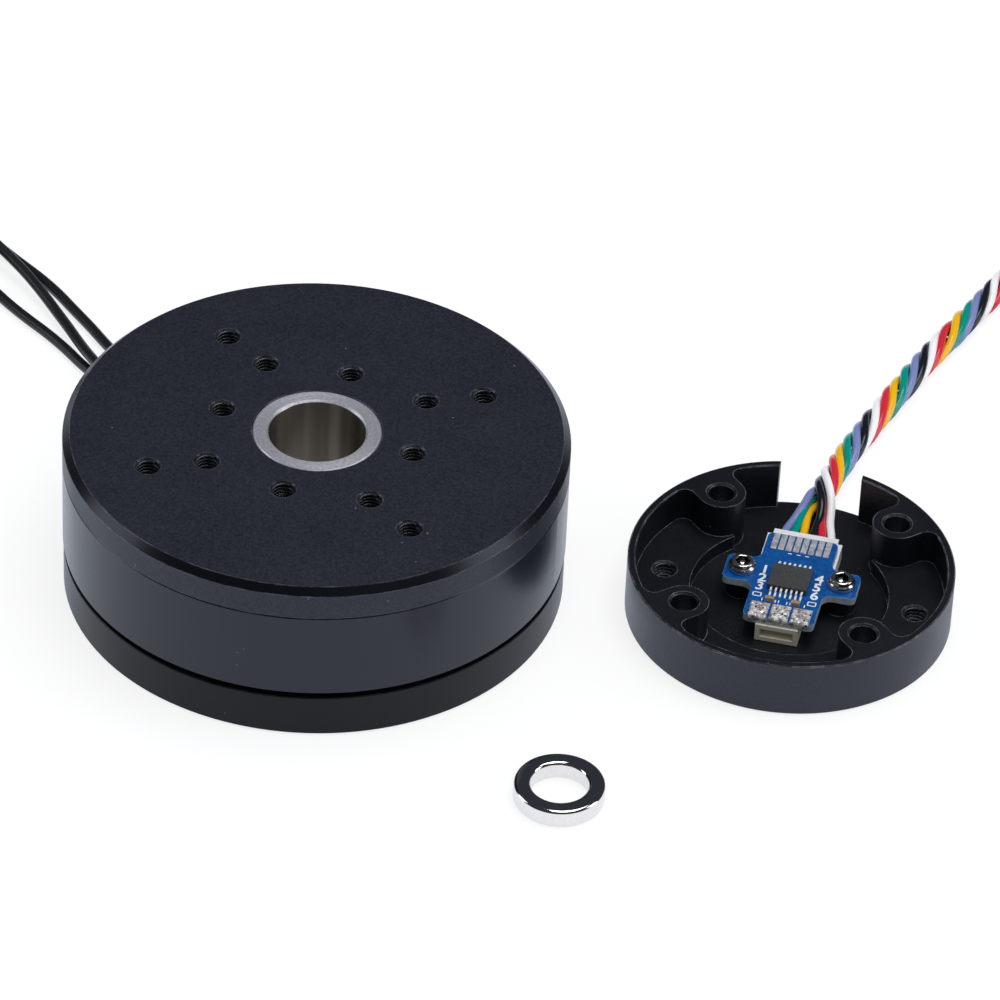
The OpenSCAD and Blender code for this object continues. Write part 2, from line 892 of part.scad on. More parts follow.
module rotor_cap() {
    spigot_r = band_ri - fit;
    rim_ri = spigot_r - spigot_wall;
    hole_r = head_d / 2 + fit;
    color(black)
        difference() {
            rotate_extrude()
                polygon([
                    [hole_r, plate_z0], [rim_ri - cap_fillet, plate_z0], [rim_ri, plate_z0 - cap_fillet],
                    [rim_ri, seam_z - spigot_h], [spigot_r - edge, seam_z - spigot_h],
                    [spigot_r, seam_z - spigot_h + edge], [spigot_r, seam_z],
                    [case_r - edge, seam_z], [case_r, seam_z + edge],
                    [case_r, motor_h - cap_chamfer], [case_r - cap_chamfer, motor_h],
                    [hole_r + edge, motor_h], [hole_r, motor_h - edge]
                ]);
            on_circle(4, cap_small_pcd)
                tapped_hole(plate_z0, motor_h);
            on_circle(4, cap_large_pcd, 45)
                tapped_hole(plate_z0, motor_h);
            for (sx = [-1, 1])
                for (sy = [-1, 1])
                    translate([sx * cap_rect_w / 2, sy * cap_rect_d / 2, 0])
                        tapped_hole(plate_z0, motor_h);
        }
}

module rotor_band() {
    color(band_black)
        rotate_extrude()
            polygon([
                [band_ri, band_z0 + edge], [band_ri + edge, band_z0], [case_r - edge, band_z0],
                [case_r, band_z0 + edge], [case_r, seam_z - edge], [case_r - edge, seam_z],
                [band_ri, seam_z]
            ]);
}

module flux_ring() {
    color(steel)
        ring(flux_ro, flux_ri, flux_z0, seam_z - spigot_h - slot_fit);
}

module rotor_magnets() {
    color(magnet_grey)
        translate([0, 0, magnet_z0])
            linear_extrude(magnet_h)
                for (k = [0 : magnet_count - 1])
                    rotate(360 * k / magnet_count)
                        arc_plate(magnet_ro, magnet_ri, 360 / magnet_count - magnet_gap_angle);
}

module hollow_shaft() {
    ri = bore_d / 2;
    groove_r = shaft_r - clip_depth;
    head_r = head_d / 2;
    color(steel)
        rotate_extrude()
            polygon([
                [ri, shaft_end + bore_edge], [ri + bore_edge, shaft_end], [shaft_r - edge, shaft_end],
                [shaft_r, shaft_end + edge], [shaft_r, clip_z0 - clip_play],
                [groove_r, clip_z0 - clip_play], [groove_r, clip_z0 + clip_t + clip_play],
                [shaft_r, clip_z0 + clip_t + clip_play], [shaft_r, upper_z1], [head_r, upper_z1],
                [head_r, motor_h - edge], [head_r - edge, motor_h],
                [ri + bore_edge, motor_h], [ri, motor_h - bore_edge]
            ]);
}

module shim_washer() {
    color(steel)
        ring(shaft_d / 2 + race_land - shield_play, shaft_d / 2, clip_z0 + clip_t, lower_z0);
}

module retaining_ring() {
    ri = shaft_r - clip_depth + clip_play;
    ro = ri + clip_w;
    lug_r = ro - clip_lug_d / 4;
    color(steel)
        translate([0, 0, clip_z0])
            linear_extrude(clip_t)
                rotate(90)
                    difference() {
                        union() {
                            difference() {
                                circle(ro);
                                circle(ri);
                                wedge(clip_gap_angle, 2 * ro);
                            }
                            for (side = [-1, 1])
                                rotate(side * clip_gap_angle / 2)
                                    translate([lug_r, 0])
                                        circle(clip_lug_d / 2);
                        }
                        for (side = [-1, 1])
                            rotate(side * clip_gap_angle / 2)
                                translate([lug_r, 0])
                                    circle(clip_eye_d / 2);
                        circle(ri);
                    }
}

// Motor leads, their coils and their plug

module motor_lead(k) {
    color(band_black)
        tube(lead_path(k), lead_d, 8, heading(exit_angle), heading(lead_coil_start + 90));
}

module lead_coil(k) {
    color(band_black)
        tube(
            lead_wound(k), lead_d, 6,
            heading(lead_coil_start + 90), heading(lead_end_angle + lead_tail_turn)
        );
}

module motor_lead_1() {
    motor_lead(0);
}

module motor_lead_2() {
    motor_lead(1);
}

module motor_lead_3() {
    motor_lead(2);
}

module lead_coil_1() {
    lead_coil(0);
}

module lead_coil_2() {
    lead_coil(1);
}

module lead_coil_3() {
    lead_coil(2);
}

// A frame at a plug's back: +X is the way the plug heads
module at_plug(at, e, way, r, lead, turn) {
    p = tail_end(at, e, way, r, lead);
    translate([p[0], p[1], 0])
        rotate(e + way * turn)
            children();
}

module at_lead_plug() {
    at_plug(lead_coil_at, lead_end_angle, 1, lead_tail_r, lead_tail_angle, lead_tail_turn)
        children();
}

module at_far_plug() {
    at_plug(cable_coil_at, cable_end_angle, -1, cable_tail_r, cable_tail_angle, cable_tail_turn)
        children();
}

module lead_plug() {
    w = 3 * plug_pitch + 2 * plug_side;
    cut_w = plug_cavity_w;
    color(band_black)
        at_lead_plug()
            difference() {
                translate([0, -w / 2, 0])
                    cube([plug_l, w, plug_t]);
                for (k = [-1 : 1])
                    translate([plug_l - plug_cavity_l, k * plug_pitch - cut_w / 2, (plug_t - cut_w) / 2])
                        cube([plug_cavity_l + overrun, cut_w, cut_w]);
            }
}

module lead_contacts() {
    hole = contact_w - 2 * contact_wall;
    color(steel)
        at_lead_plug()
            for (k = [-1 : 1])
                translate([plug_l - contact_setback - contact_l, k * plug_pitch, plug_t / 2])
                    difference() {
                        translate([0, -contact_w / 2, -plug_cavity_w / 2])
                            cube([contact_l, contact_w, plug_cavity_w / 2 + contact_w / 2]);
                        translate([-overrun, -hole / 2, -hole / 2])
                            cube([contact_l + 2 * overrun, hole, hole]);
                    }
}

// A flat band round a coil: the strands that pass under it lie between two radii
module coil_tie(at, angle, r_far, r_near, z_top, d) {
    inner_w = r_far - r_near + d + 2 * tie_play;
    inner_h = z_top - tie_t;
    translate([at[0], at[1], 0])
        rotate(angle)
            translate([(r_far + r_near) / 2, tie_w / 2, 0])
                rotate([90, 0, 0])
                    linear_extrude(tie_w)
                        difference() {
                            translate([-inner_w / 2 - tie_t, 0])
                                square([inner_w + 2 * tie_t, inner_h + 2 * tie_t]);
                            translate([-inner_w / 2, tie_t])
                                square([inner_w, inner_h]);
                        }
}

module lead_tie() {
    passed = ((lead_tie_angle - lead_coil_start) % 360) / 360;
    r_far = lead_coil_r - lead_pitch_r * passed;
    r_near = r_far - lead_pitch_r * floor(lead_turns - passed);
    z_top = lead_coil_z + 2 * lead_layer + lead_d / 2 + tie_play;
    color(band_black)
        coil_tie(lead_coil_at, lead_tie_angle, r_far, r_near, z_top, lead_d);
}

// Encoder cover, in its own frame with the notch to +Y

module at_cover() {
    translate([cover_at[0], cover_at[1], 0])
        rotate(cover_turn)
            children();
}

module at_posts() {
    on_circle(4, cover_pcd, 45)
        children();
}

module web_plate() {
    fr = web_fillet;
    fy = post_d / 2 + fr;
    fx = sqrt(pow(cover_ri - fr, 2) - pow(fy, 2));
    mid_wall = cover_r - cover_wall / 2;
    touch = [fx, fy] * mid_wall / (cover_ri - fr);
    translate([-cover_pcd / 2, 0]) {
        translate([cover_pcd / 2, -post_d / 2])
            square([mid_wall - cover_pcd / 2, post_d]);
        for (side = [0, 1])
            mirror([0, side])
                difference() {
                    polygon([[fx, 0], [mid_wall, 0], touch, [fx, fy]]);
                    translate([fx, fy])
                        circle(fr);
                }
    }
    circle(post_d / 2);
}

module cover_body() {
    rotate_extrude()
        polygon([
            [0, 0], [cover_r - cover_edge, 0], [cover_r, cover_edge], [cover_r, cover_h - edge],
            [cover_r - edge, cover_h], [cover_ri + edge, cover_h], [cover_ri, cover_h - edge],
            [cover_ri, cover_floor], [0, cover_floor]
        ]);
    linear_extrude(ledge_h)
        difference() {
            circle(cover_ri + cover_wall / 2);
            circle(recess_d / 2);
            rotate(90)
                wedge(90, cover_r);
        }
    at_posts()
        linear_extrude(cover_h)
            web_plate();
    for (side = [-1, 1])
        translate([side * screw_pitch / 2, screw_y, 0])
            cylinder(h = board_z0, d = standoff_d);
}

module encoder_cover() {
    color(band_black)
        at_cover()
            difference() {
                cover_body();
                translate([-notch_w / 2, recess_d / 2, cover_floor])
                    cube([notch_w, cover_r, cover_h]);
                at_posts() {
                    translate([0, 0, -overrun])
                        cylinder(h = cover_h + 2 * overrun, d = post_hole_d);
                    translate([0, 0, -overrun])
                        cylinder(h = overrun + cover_floor, d = head_recess_d);
                    translate([0, 0, cover_h - cover_edge])
                        cylinder(h = cover_edge, d1 = post_hole_d, d2 = post_hole_d + 2 * cover_edge);
                    translate([0, 0, cover_h])
                        cylinder(h = overrun, d = post_hole_d + 2 * cover_edge);
                }
                for (a = [0, 180, 270])
                    rotate(a)
                        translate([cover_pcd / 2, 0, 0])
                            tapped_hole(0, ledge_h);
                for (side = [-1, 1])
                    translate([side * screw_pitch / 2, screw_y, cover_floor])
                        cylinder(h = board_z0, d = screw_d);
            }
}

// Board and what sits on it

module board_plate() {
    half_w = board_w / 2;
    ear_half = ear_w / 2;
    translate([0, board_y])
        rounded_plate(board_w, board_l, board_corner);
    translate([0, screw_y])
        rounded_plate(screw_pitch + 2 * ear_reach, ear_w, board_corner);
    for (sx = [-1, 1])
        for (sy = [-1, 1])
            translate([sx * half_w, screw_y + sy * ear_half])
                difference() {
                    translate([sx > 0 ? 0 : -ear_fillet, sy > 0 ? 0 : -ear_fillet])
                        square([ear_fillet, ear_fillet]);
                    translate([sx * ear_fillet, sy * ear_fillet])
                        circle(ear_fillet);
                }
}

module encoder_board() {
    color(board_blue)
        at_cover()
            translate([0, 0, board_z0])
                linear_extrude(board_t)
                    difference() {
                        board_plate();
                        for (side = [-1, 1])
                            translate([side * screw_pitch / 2, screw_y])
                                circle(screw_d / 2 + fit);
                    }
}

module board_screws() {
    color(steel)
        at_cover()
            for (side = [-1, 1])
                translate([side * screw_pitch / 2, screw_y, 0])
                    difference() {
                        union() {
                            translate([0, 0, cover_floor + edge])
                                cylinder(h = board_z1 - cover_floor, d = screw_d - fit);
                            translate([0, 0, board_z1])
                                cylinder(h = screw_head_h - edge, d = screw_head_d);
                            translate([0, 0, board_z1 + screw_head_h - edge])
                                cylinder(h = edge, d1 = screw_head_d, d2 = screw_head_d - 2 * edge);
                        }
                        translate([0, 0, board_z1 + screw_head_h / 2])
                            cylinder(h = screw_head_h, d = screw_socket_d, $fn = 6);
                    }
}

module sensor_chip() {
    color(band_black)
        at_cover()
            translate([-chip_w / 2, -chip_l / 2, board_z1 + chip_lift])
                cube([chip_w, chip_l, chip_t - chip_lift]);
}

// A bent leg: foot on the board, riser, and a shoulder against the chip's side
module chip_pin() {
    shoulder_z = chip_t / 2;
    translate([-pin_w / 2, 0, shoulder_z - pin_t / 2])
        cube([pin_w, pin_reach / 2, pin_t]);
    translate([-pin_w / 2, pin_reach / 2 - pin_t, 0])
        cube([pin_w, pin_t, shoulder_z]);
    translate([-pin_w / 2, pin_reach / 2 - pin_t, 0])
        cube([pin_w, pin_reach / 2 + pin_t, pin_t]);
}

module chip_pins() {
    color(steel)
        at_cover()
            for (side = [0, 1])
                mirror([0, side, 0])
                    for (k = [0 : pin_count - 1])
                        translate([(k - (pin_count - 1) / 2) * pin_pitch, chip_l / 2, board_z1])
                            chip_pin();
}

module tinned_pads() {
    y1 = board_y + board_l / 2 - pad_inset;
    color(steel)
        at_cover()
            for (k = [0 : pad_count - 1])
                translate([(k - (pad_count - 1) / 2) * pad_pitch - pad_w / 2, y1 - pad_l, board_z1])
                    cube([pad_w, pad_l, pad_t]);
}

module solder_pads() {
    y0 = board_y - board_l / 2 + solder_inset;
    color(steel)
        at_cover()
            for (k = [0 : solder_count - 1])
                translate([(k - (solder_count - 1) / 2) * solder_pitch, y0 + solder_l / 2, board_z1])
                    linear_extrude(solder_t)
                        rounded_plate(solder_w, solder_l, solder_corner);
}

module capacitors() {
    color(copper)
        at_cover()
            for (side = [-1, 1])
                translate([
                    capacitor_x + side * capacitor_pitch / 2 - capacitor_l / 2,
                    capacitor_y - capacitor_w / 2,
                    board_z1
                ])
                    cube([capacitor_l, capacitor_w, capacitor_w]);
}

module cable_socket() {
    y1 = board_y + board_l / 2 + socket_out;
    hole_w = inserted_w + 2 * socket_play;
    hole_h = under_t - 2 * socket_wall;
    color(white)
        at_cover()
            difference() {
                translate([-socket_w / 2, y1 - socket_l, under_z0])
                    cube([socket_w, socket_l, under_t]);
                translate([-hole_w / 2, y1 - socket_l + socket_wall, under_z0 + socket_wall])
                    cube([hole_w, socket_l, hole_h]);
            }
}

module cable_plug() {
    y1 = board_y + board_l / 2 + socket_out;
    y0 = y1 - socket_l + 2 * socket_wall;
    h = under_t - 2 * socket_wall - 2 * socket_play;
    color(white)
        at_cover() {
            translate([-inserted_w / 2, y0, under_z0 + socket_wall + socket_play])
                cube([inserted_w, y1 + inserted_out - y0, h]);
            translate([-inserted_w / 2, y1 + socket_play, under_z0 + socket_play])
                cube([inserted_w, inserted_out - socket_play, under_t - 2 * socket_play]);
        }
}

module spare_socket() {
    y0 = board_y - board_l / 2 - spare_out;
    wall = socket_wall;
    color(cream)
        at_cover()
            difference() {
                translate([-spare_w / 2, y0, under_z0])
                    cube([spare_w, spare_l, under_t]);
                translate([-spare_w / 2 + wall, y0 - overrun, under_z0 + wall])
                    cube([spare_w - 2 * wall, spare_l - wall + overrun, under_t - 2 * wall]);
            }
}

// Cable, its coil and its far plug

module encoder_cable() {
    color(white)
        tube(cable_path, cable_d, 8, heading(cover_turn + 90), heading(cable_coil_start - 90));
}

module cable_coil() {
    color(white)
        tube(
            cable_wound, cable_d, 6,
            heading(cable_coil_start - 90), heading(cable_end_angle - cable_tail_turn)
        );
}

module far_plug() {
    w = way_count * far_way + 2 * far_side;
    color(white)
        at_far_plug()
            difference() {
                translate([0, -w / 2, 0])
                    cube([far_l, w, far_t]);
                for (k = [0 : way_count - 1])
                    translate([
                        far_l - far_cavity_l,
                        (k - (way_count - 1) / 2) * far_way - far_cavity_w / 2,
                        (far_t - far_cavity_w) / 2
                    ])
                        cube([far_cavity_l + overrun, far_cavity_w, far_cavity_w]);
            }
}

module far_contacts() {
    hole = far_contact_w - 2 * far_contact_wall;
    x0 = far_l - far_setback - far_contact_l;
    color(steel)
        at_far_plug()
            for (k = [0 : way_count - 1])
                translate([x0, (k - (way_count - 1) / 2) * far_way, far_t / 2])
                    difference() {
                        translate([0, -far_contact_w / 2, -far_cavity_w / 2])
                            cube([far_contact_l, far_contact_w, far_cavity_w / 2 + far_contact_w / 2]);
                        translate([-overrun, -hole / 2, -hole / 2])
                            cube([far_contact_l + 2 * overrun, hole, hole]);
                    }
}

module cable_tie() {
    passed = ((cable_coil_start - cable_tie_angle) % 360) / 360;
    r_far = cable_coil_r - cable_pitch_r * passed;
    r_near = r_far - cable_pitch_r * floor(cable_turns - passed);
    z_top = cable_coil_z + cable_d / 2 + tie_play;
    color(band_black)
        coil_tie(cable_coil_at, cable_tie_angle, r_far, r_near, z_top, cable_d);
}

// Magnet that the shaft carries over the sensor, lying beside the cover

module ring_magnet() {
    ro = ring_d / 2;
    ri = ring_hole_d / 2;
    color(magnet_grey)
        translate([ring_at[0], ring_at[1], 0])
            rotate_extrude()
                polygon([
                    [ri, ring_edge], [ri + ring_edge, 0], [ro - ring_edge, 0], [ro, ring_edge],
                    [ro, ring_h - ring_edge], [ro - ring_edge, ring_h],
                    [ri + ring_edge, ring_h], [ri, ring_h - ring_edge]
                ]);
}

base_housing();
stator_core();
upper_insulator();
lower_insulator();
stator_windings();
inner_leads();
lead_sleeves();
lead_grommet();
upper_bearing_outer();
upper_bearing_shields();
lower_bearing_outer();
lower_bearing_shields();
upper_bearing_balls();
upper_bearing_cage();
lower_bearing_balls();
lower_bearing_cage();
rotor_cap();
rotor_band();
flux_ring();
rotor_magnets();
hollow_shaft();
upper_bearing_inner();
lower_bearing_inner();
shim_washer();
retaining_ring();
motor_lead_1();
motor_lead_2();
motor_lead_3();
lead_coil_1();
lead_coil_2();
lead_coil_3();
lead_plug();
lead_contacts();
lead_tie();
encoder_cover();
encoder_board();
board_screws();
sensor_chip();
chip_pins();
tinned_pads();
solder_pads();
capacitors();
cable_socket();
cable_plug();
spare_socket();
encoder_cable();
cable_coil();
far_plug();
far_contacts();
cable_tie();
ring_magnet();
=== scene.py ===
# %% [markdown]
# # A hollow-shaft gimbal motor with its encoder cover
# The motor is a flat black drum that turns on a low fixed base. Beside it lie the cover
# that carries the position sensor's circuit board, and the small ring magnet that the
# sensor reads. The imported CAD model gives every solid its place; these cells dress it.

from math import ceil, cos, pi, radians, sin, sqrt

import bmesh
import bpy
import numpy as np
from mathutils import Matrix, Vector
from mathutils import noise as relief


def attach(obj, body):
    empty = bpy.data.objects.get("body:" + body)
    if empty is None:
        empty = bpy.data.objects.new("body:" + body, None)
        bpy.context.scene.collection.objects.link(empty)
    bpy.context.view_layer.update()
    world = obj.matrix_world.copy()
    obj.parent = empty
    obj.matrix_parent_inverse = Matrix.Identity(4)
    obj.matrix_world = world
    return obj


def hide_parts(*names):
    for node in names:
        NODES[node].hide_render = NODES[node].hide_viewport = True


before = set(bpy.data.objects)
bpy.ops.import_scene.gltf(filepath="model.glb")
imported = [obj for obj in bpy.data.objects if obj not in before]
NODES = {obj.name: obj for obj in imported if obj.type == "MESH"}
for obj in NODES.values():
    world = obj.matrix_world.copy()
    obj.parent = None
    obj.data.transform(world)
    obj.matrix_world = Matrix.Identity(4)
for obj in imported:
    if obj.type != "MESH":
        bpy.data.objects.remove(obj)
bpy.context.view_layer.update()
MM = 0.001
print("nodes in the frame:", len(NODES))

# %% [markdown]
# ## The camera
# A product picture of a low drum is taken from well above, so that the holes in its top
# face and its side both show. A long lens from a little distance keeps the round faces
# free of strong perspective. The camera is set first, because the cords are judged by
# what it sees of them.

# %% Camera
CAMERA_AT = (203.133, -598.627, 513.004)
CAMERA_YAW = -0.290758
CAMERA_PITCH = 0.6694
CAMERA_ROLL = 0.048
LENS = 232.71
SENSOR = 36.0
CLIP = (0.05, 20)


def linked(name, data):
    """A new object that holds the data, in the scene."""
    made = bpy.data.objects.new(name, data)
    bpy.context.collection.objects.link(made)
    return made


def place_camera():
    yaw, pitch, roll = CAMERA_YAW, CAMERA_PITCH, CAMERA_ROLL
    ahead = Vector((sin(yaw) * cos(pitch), cos(yaw) * cos(pitch), -sin(pitch)))
    level = Vector((cos(yaw), -sin(yaw), 0))
    upright = level.cross(ahead)
    right = cos(roll) * level + sin(roll) * upright
    up = cos(roll) * upright - sin(roll) * level
    data = bpy.data.cameras.new("product_camera")
    data.lens, data.sensor_width, data.sensor_fit = LENS, SENSOR, "HORIZONTAL"
    data.clip_start, data.clip_end = CLIP
    camera = linked("product_camera", data)
    turn = Matrix((right, up, -ahead)).transposed().to_4x4()
    camera.matrix_world = Matrix.Translation(Vector(CAMERA_AT) * MM) @ turn
    bpy.context.scene.camera = camera
    return camera


camera = place_camera()
bpy.context.scene.view_settings.view_transform = "Standard"
print("camera stands", round(camera.location.length, 3), "m from the motor's foot")

# %% [markdown]
# ## Small helpers for node trees
# Every material and every Geometry Nodes tree below is built in code. One helper adds a
# node, sets its options and feeds its sockets, from a number, a colour or another
# node's output, so a tree reads as a list of what feeds what.


# %% Node helpers
def feed(socket, value):
    if isinstance(value, bpy.types.NodeSocket):
        socket.id_data.links.new(value, socket)
    elif socket.type == "RGBA":
        socket.default_value = (*value, 1)
    else:
        socket.default_value = value


def put(at, kind, feeds=None, **settings):
    """Adds a node to a tree, which is given itself or by a socket or node in it."""
    node = at.id_data.nodes.new(kind)
    for name, value in settings.items():
        setattr(node, name, value)
    for key, value in (feeds or {}).items():
        feed(node.inputs[key], value)
    return node


def sums(operation, *values):
    at = next(v for v in values if isinstance(v, bpy.types.NodeSocket))
    return put(at, "ShaderNodeMath", dict(enumerate(values)), operation=operation).outputs[0]


def product(a, b):
    return sums("MULTIPLY", a, b)


def spread(value, low, high, to_low, to_high):
    feeds = {"Value": value, "From Min": low, "From Max": high, "To Min": to_low, "To Max": to_high}
    return put(value, "ShaderNodeMapRange", feeds, clamp=True).outputs["Result"]


def between(share, a, b):
    return spread(share, 0, 1, a, b)


def stretched(value, low=0.3, high=0.7):
    """A noise stays near its middle: this takes the part that it uses to 0 and 1."""
    return spread(value, low, high, 0, 1)


def blend(share, a, b):
    feeds = {0: share, 6: a, 7: b}
    return put(share, "ShaderNodeMix", feeds, data_type="RGBA").outputs[2]


def where(tree, kind="Object"):
    return put(tree, "ShaderNodeTexCoord").outputs[kind]


def height_of(vector):
    return put(vector, "ShaderNodeSeparateXYZ", {0: vector}).outputs["Z"]


def flattened(place):
    """A place seen from above, and its distance from the upright axis."""
    feeds = {0: place, 1: (1, 1, 0)}
    flat = put(place, "ShaderNodeVectorMath", feeds, operation="MULTIPLY").outputs[0]
    reach = put(place, "ShaderNodeVectorMath", {0: flat}, operation="LENGTH")
    return flat, reach.outputs["Value"]


def tone(*levels):
    """A colour given as 0 to 255, as it should look on the screen."""
    parts = [v / 255 for v in levels]
    return [p / 12.92 if p <= 0.04045 else ((p + 0.055) / 1.055) ** 2.4 for p in parts]


def empty_tree(owner):
    owner.use_nodes = True
    owner.node_tree.nodes.clear()
    return owner.node_tree


# %% [markdown]
# ## Floor, surroundings and lamps
# The object lies on a white sweep under a large soft lamp, with two more at its sides.
# The lamps are kept at a plain level, at which a colour looks as it is written. The white
# of the background comes from the floor's own colour where the camera or a reflection
# sees it. Above the floor the studio is dark, which is what makes a polished top face
# look black and a polished side look white, with the cool tint of daylight lamps.

# %% Floor
WHITE = (1, 1, 1)
FLOOR_REACH = 3.0
FLOOR_Z = -0.00003
FLOOR_PAPER = (0.93, 0.94, 0.97)
FLOOR_WHITE_SHARE = 0.74
FLOOR_WHITE = 1.07
FLOOR_IN_GLOSS = (0.8, 0.87, 1.0)


def seen_apart(tree, share, lit, seen, output):
    """What camera, gloss and glass see is taken from another shader, by a share."""
    path = put(tree, "ShaderNodeLightPath").outputs
    direct = sums("MAXIMUM", path["Is Camera Ray"], path["Is Glossy Ray"])
    direct = sums("MAXIMUM", direct, path["Is Transmission Ray"])
    feeds = {0: product(direct, share), 1: lit.outputs[0], 2: seen.outputs[0]}
    mixed = put(tree, "ShaderNodeMixShader", feeds)
    put(tree, output, {"Surface": mixed.outputs[0]})


def floor_material():
    material = bpy.data.materials.new("white_sweep")
    tree = empty_tree(material)
    paper = put(tree, "ShaderNodeBsdfDiffuse", {"Color": FLOOR_PAPER})
    mirrored = put(tree, "ShaderNodeLightPath").outputs["Is Glossy Ray"]
    shade = blend(mirrored, WHITE, FLOOR_IN_GLOSS)
    white = put(tree, "ShaderNodeEmission", {"Color": shade, "Strength": FLOOR_WHITE})
    seen_apart(tree, FLOOR_WHITE_SHARE, paper, white, "ShaderNodeOutputMaterial")
    return material


def lay_floor():
    mesh = bpy.data.meshes.new("floor")
    r, z = FLOOR_REACH, FLOOR_Z
    mesh.from_pydata([(-r, -r, z), (r, -r, z), (r, r, z), (-r, r, z)], [], [(0, 1, 2, 3)])
    mesh.materials.append(floor_material())
    linked("floor", mesh)


lay_floor()
print("floor laid,", 2 * FLOOR_REACH, "m wide")

# %% Surroundings
AMBIENT = 0.42
AMBIENT_COLOUR = (0.97, 0.98, 1)
DARK_STUDIO = (0.026, 0.031, 0.044)
LOW_HORIZON = (0.2, 0.23, 0.3)
HORIZON_HEIGHT = 0.1


def surround():
    world = bpy.data.worlds.new("studio")
    tree = empty_tree(world)
    risen = spread(height_of(where(tree, "Generated")), 0.0, HORIZON_HEIGHT, 0, 1)
    shade = blend(risen, LOW_HORIZON, DARK_STUDIO)
    straight = put(tree, "ShaderNodeLightPath").outputs["Is Camera Ray"]
    shade = blend(straight, shade, WHITE)
    light = put(tree, "ShaderNodeBackground", {"Color": AMBIENT_COLOUR, "Strength": AMBIENT})
    seen = put(tree, "ShaderNodeBackground", {"Color": shade, "Strength": 1.0})
    seen_apart(tree, 1.0, light, seen, "ShaderNodeOutputWorld")
    bpy.context.scene.world = world


surround()
print("studio round it, ambient light", AMBIENT)

# %% Lamps: place and aim in metres, width and depth, watts, colour
DAYLIGHT = (0.9, 0.95, 1)
LAMPS = {
    "overhead": ((0.25, 0.05, 1.35), (0.02, 0.0, 0), (1.0, 0.8), 10.0, WHITE),
    "left_side": ((-1.15, -0.25, 0.45), (0, 0, 0.02), (0.5, 0.9), 3.0, DAYLIGHT),
    "right_side": ((1.2, 0.25, 0.5), (0, 0, 0.02), (0.5, 0.9), 3.6, DAYLIGHT),
}

for name, (at, aim, size, watts, colour) in LAMPS.items():
    data = bpy.data.lights.new(name, "AREA")
    data.shape = "RECTANGLE"
    data.size, data.size_y = size
    data.energy, data.color = watts, colour
    facing = (Vector(aim) - Vector(at)).to_track_quat("-Z", "Y").to_matrix().to_4x4()
    linked(name, data).matrix_world = Matrix.Translation(Vector(at)) @ facing
print("lamps placed:", ", ".join(LAMPS))

# %% [markdown]
# ## Effects that several finishes share
# Real finishes differ less in colour than in what breaks the colour up: the grain left
# by blasting before anodising, the rings that a lathe leaves, lighter edges that are partly
# rubbed wear and partly a painted highlight, and the faint smudges of handling. Each is one
# shader group with named inputs. A group gives only a mask or a height, and each material
# decides what to do with it.


# %% Shader groups
def shader_group(make, inputs):
    """Inputs are numbers with their usual value, or vectors where that is None."""
    tree = bpy.data.node_groups.new(make.__name__, "ShaderNodeTree")
    for label, value in inputs.items():
        kind = "NodeSocketVector" if value is None else "NodeSocketFloat"
        socket = tree.interface.new_socket(label, in_out="INPUT", socket_type=kind)
        if value is not None:
            socket.default_value = value
    given = put(tree, "NodeGroupInput").outputs
    made = make(*[given[label] for label in inputs])
    for label in made:
        tree.interface.new_socket(label, in_out="OUTPUT", socket_type="NodeSocketFloat")
    put(tree, "NodeGroupOutput", made)
    return tree


def noise(place, scale, detail=2.0, roughness=0.5):
    feeds = {"Vector": place, "Scale": scale, "Detail": detail, "Roughness": roughness}
    return put(place, "ShaderNodeTexNoise", feeds).outputs["Fac"]


def cells(place, scale):
    return put(place, "ShaderNodeTexVoronoi", {"Vector": place, "Scale": scale}).outputs


def fine_grain(place, per_metre):
    return {"Grain": stretched(noise(place, per_metre, 3.0, 0.6))}


def turned_marks(place, per_metre):
    along = sums("ADD", flattened(place)[1], height_of(place))
    feeds = {"W": along, "Scale": per_metre, "Detail": 3.0}
    rings = put(place, "ShaderNodeTexNoise", feeds, noise_dimensions="1D")
    return {"Rings": stretched(rings.outputs["Fac"])}


def rubbed_and_highlit_edges(place, width):
    """A bevelled normal differs from the plain one near an edge; the lighter mark there, partly
    wear and partly a painted highlight, is patchy.
    """
    rounded = put(place, "ShaderNodeBevel", {"Radius": width}, samples=4).outputs[0]
    normals = {0: rounded, 1: put(place, "ShaderNodeNewGeometry").outputs["Normal"]}
    same = put(place, "ShaderNodeVectorMath", normals, operation="DOT_PRODUCT").outputs["Value"]
    patchy = spread(noise(place, 520.0, 4.0, 0.65), 0.42, 0.62, 0.2, 1.0)
    return {"Edge wear and highlight": product(spread(same, 0.995, 0.9, 0, 1), patchy)}


def handling(place, size):
    speck = cells(place, 700.0)
    near = spread(speck["Distance"], 0.05, 0.09, 1, 0)
    rare = put(place, "ShaderNodeSeparateColor", {0: speck["Color"]}).outputs[1]
    return {
        "Smudge": stretched(noise(place, size, 4.0, 0.55)),
        "Dust": product(near, stretched(rare, 0.955, 0.965)),
    }


def mottling(place, per_metre):
    patch = noise(place, per_metre, 5.0, 0.7)
    # Dark spots of painted shade, used as pits in solder.
    pit_shade = spread(cells(place, 1300.0)["Distance"], 0.16, 0.24, 1, 0)
    return {"Mottle": stretched(patch, 0.4, 0.6), "Pit shade": pit_shade}


def even_layers(position, pitch):
    """Ridges at an even pitch: the edges of laminations, or turns of wire side by side."""
    phase = product(sums("DIVIDE", position, pitch), pi)
    return {"Ridge": sums("ABSOLUTE", sums("SINE", phase))}


EFFECTS = {
    fine_grain: {"Vector": None, "Grains per metre": 3000.0},
    turned_marks: {"Vector": None, "Rings per metre": 4000.0},
    rubbed_and_highlit_edges: {"Vector": None, "Width": 0.0002},
    handling: {"Vector": None, "Size": 90.0},
    mottling: {"Vector": None, "Patches per metre": 2500.0},
    even_layers: {"Position": 0.0, "Pitch": 0.0004},
}
GROUPS = {make.__name__: shader_group(make, inputs) for make, inputs in EFFECTS.items()}
print("shader groups:", ", ".join(GROUPS))
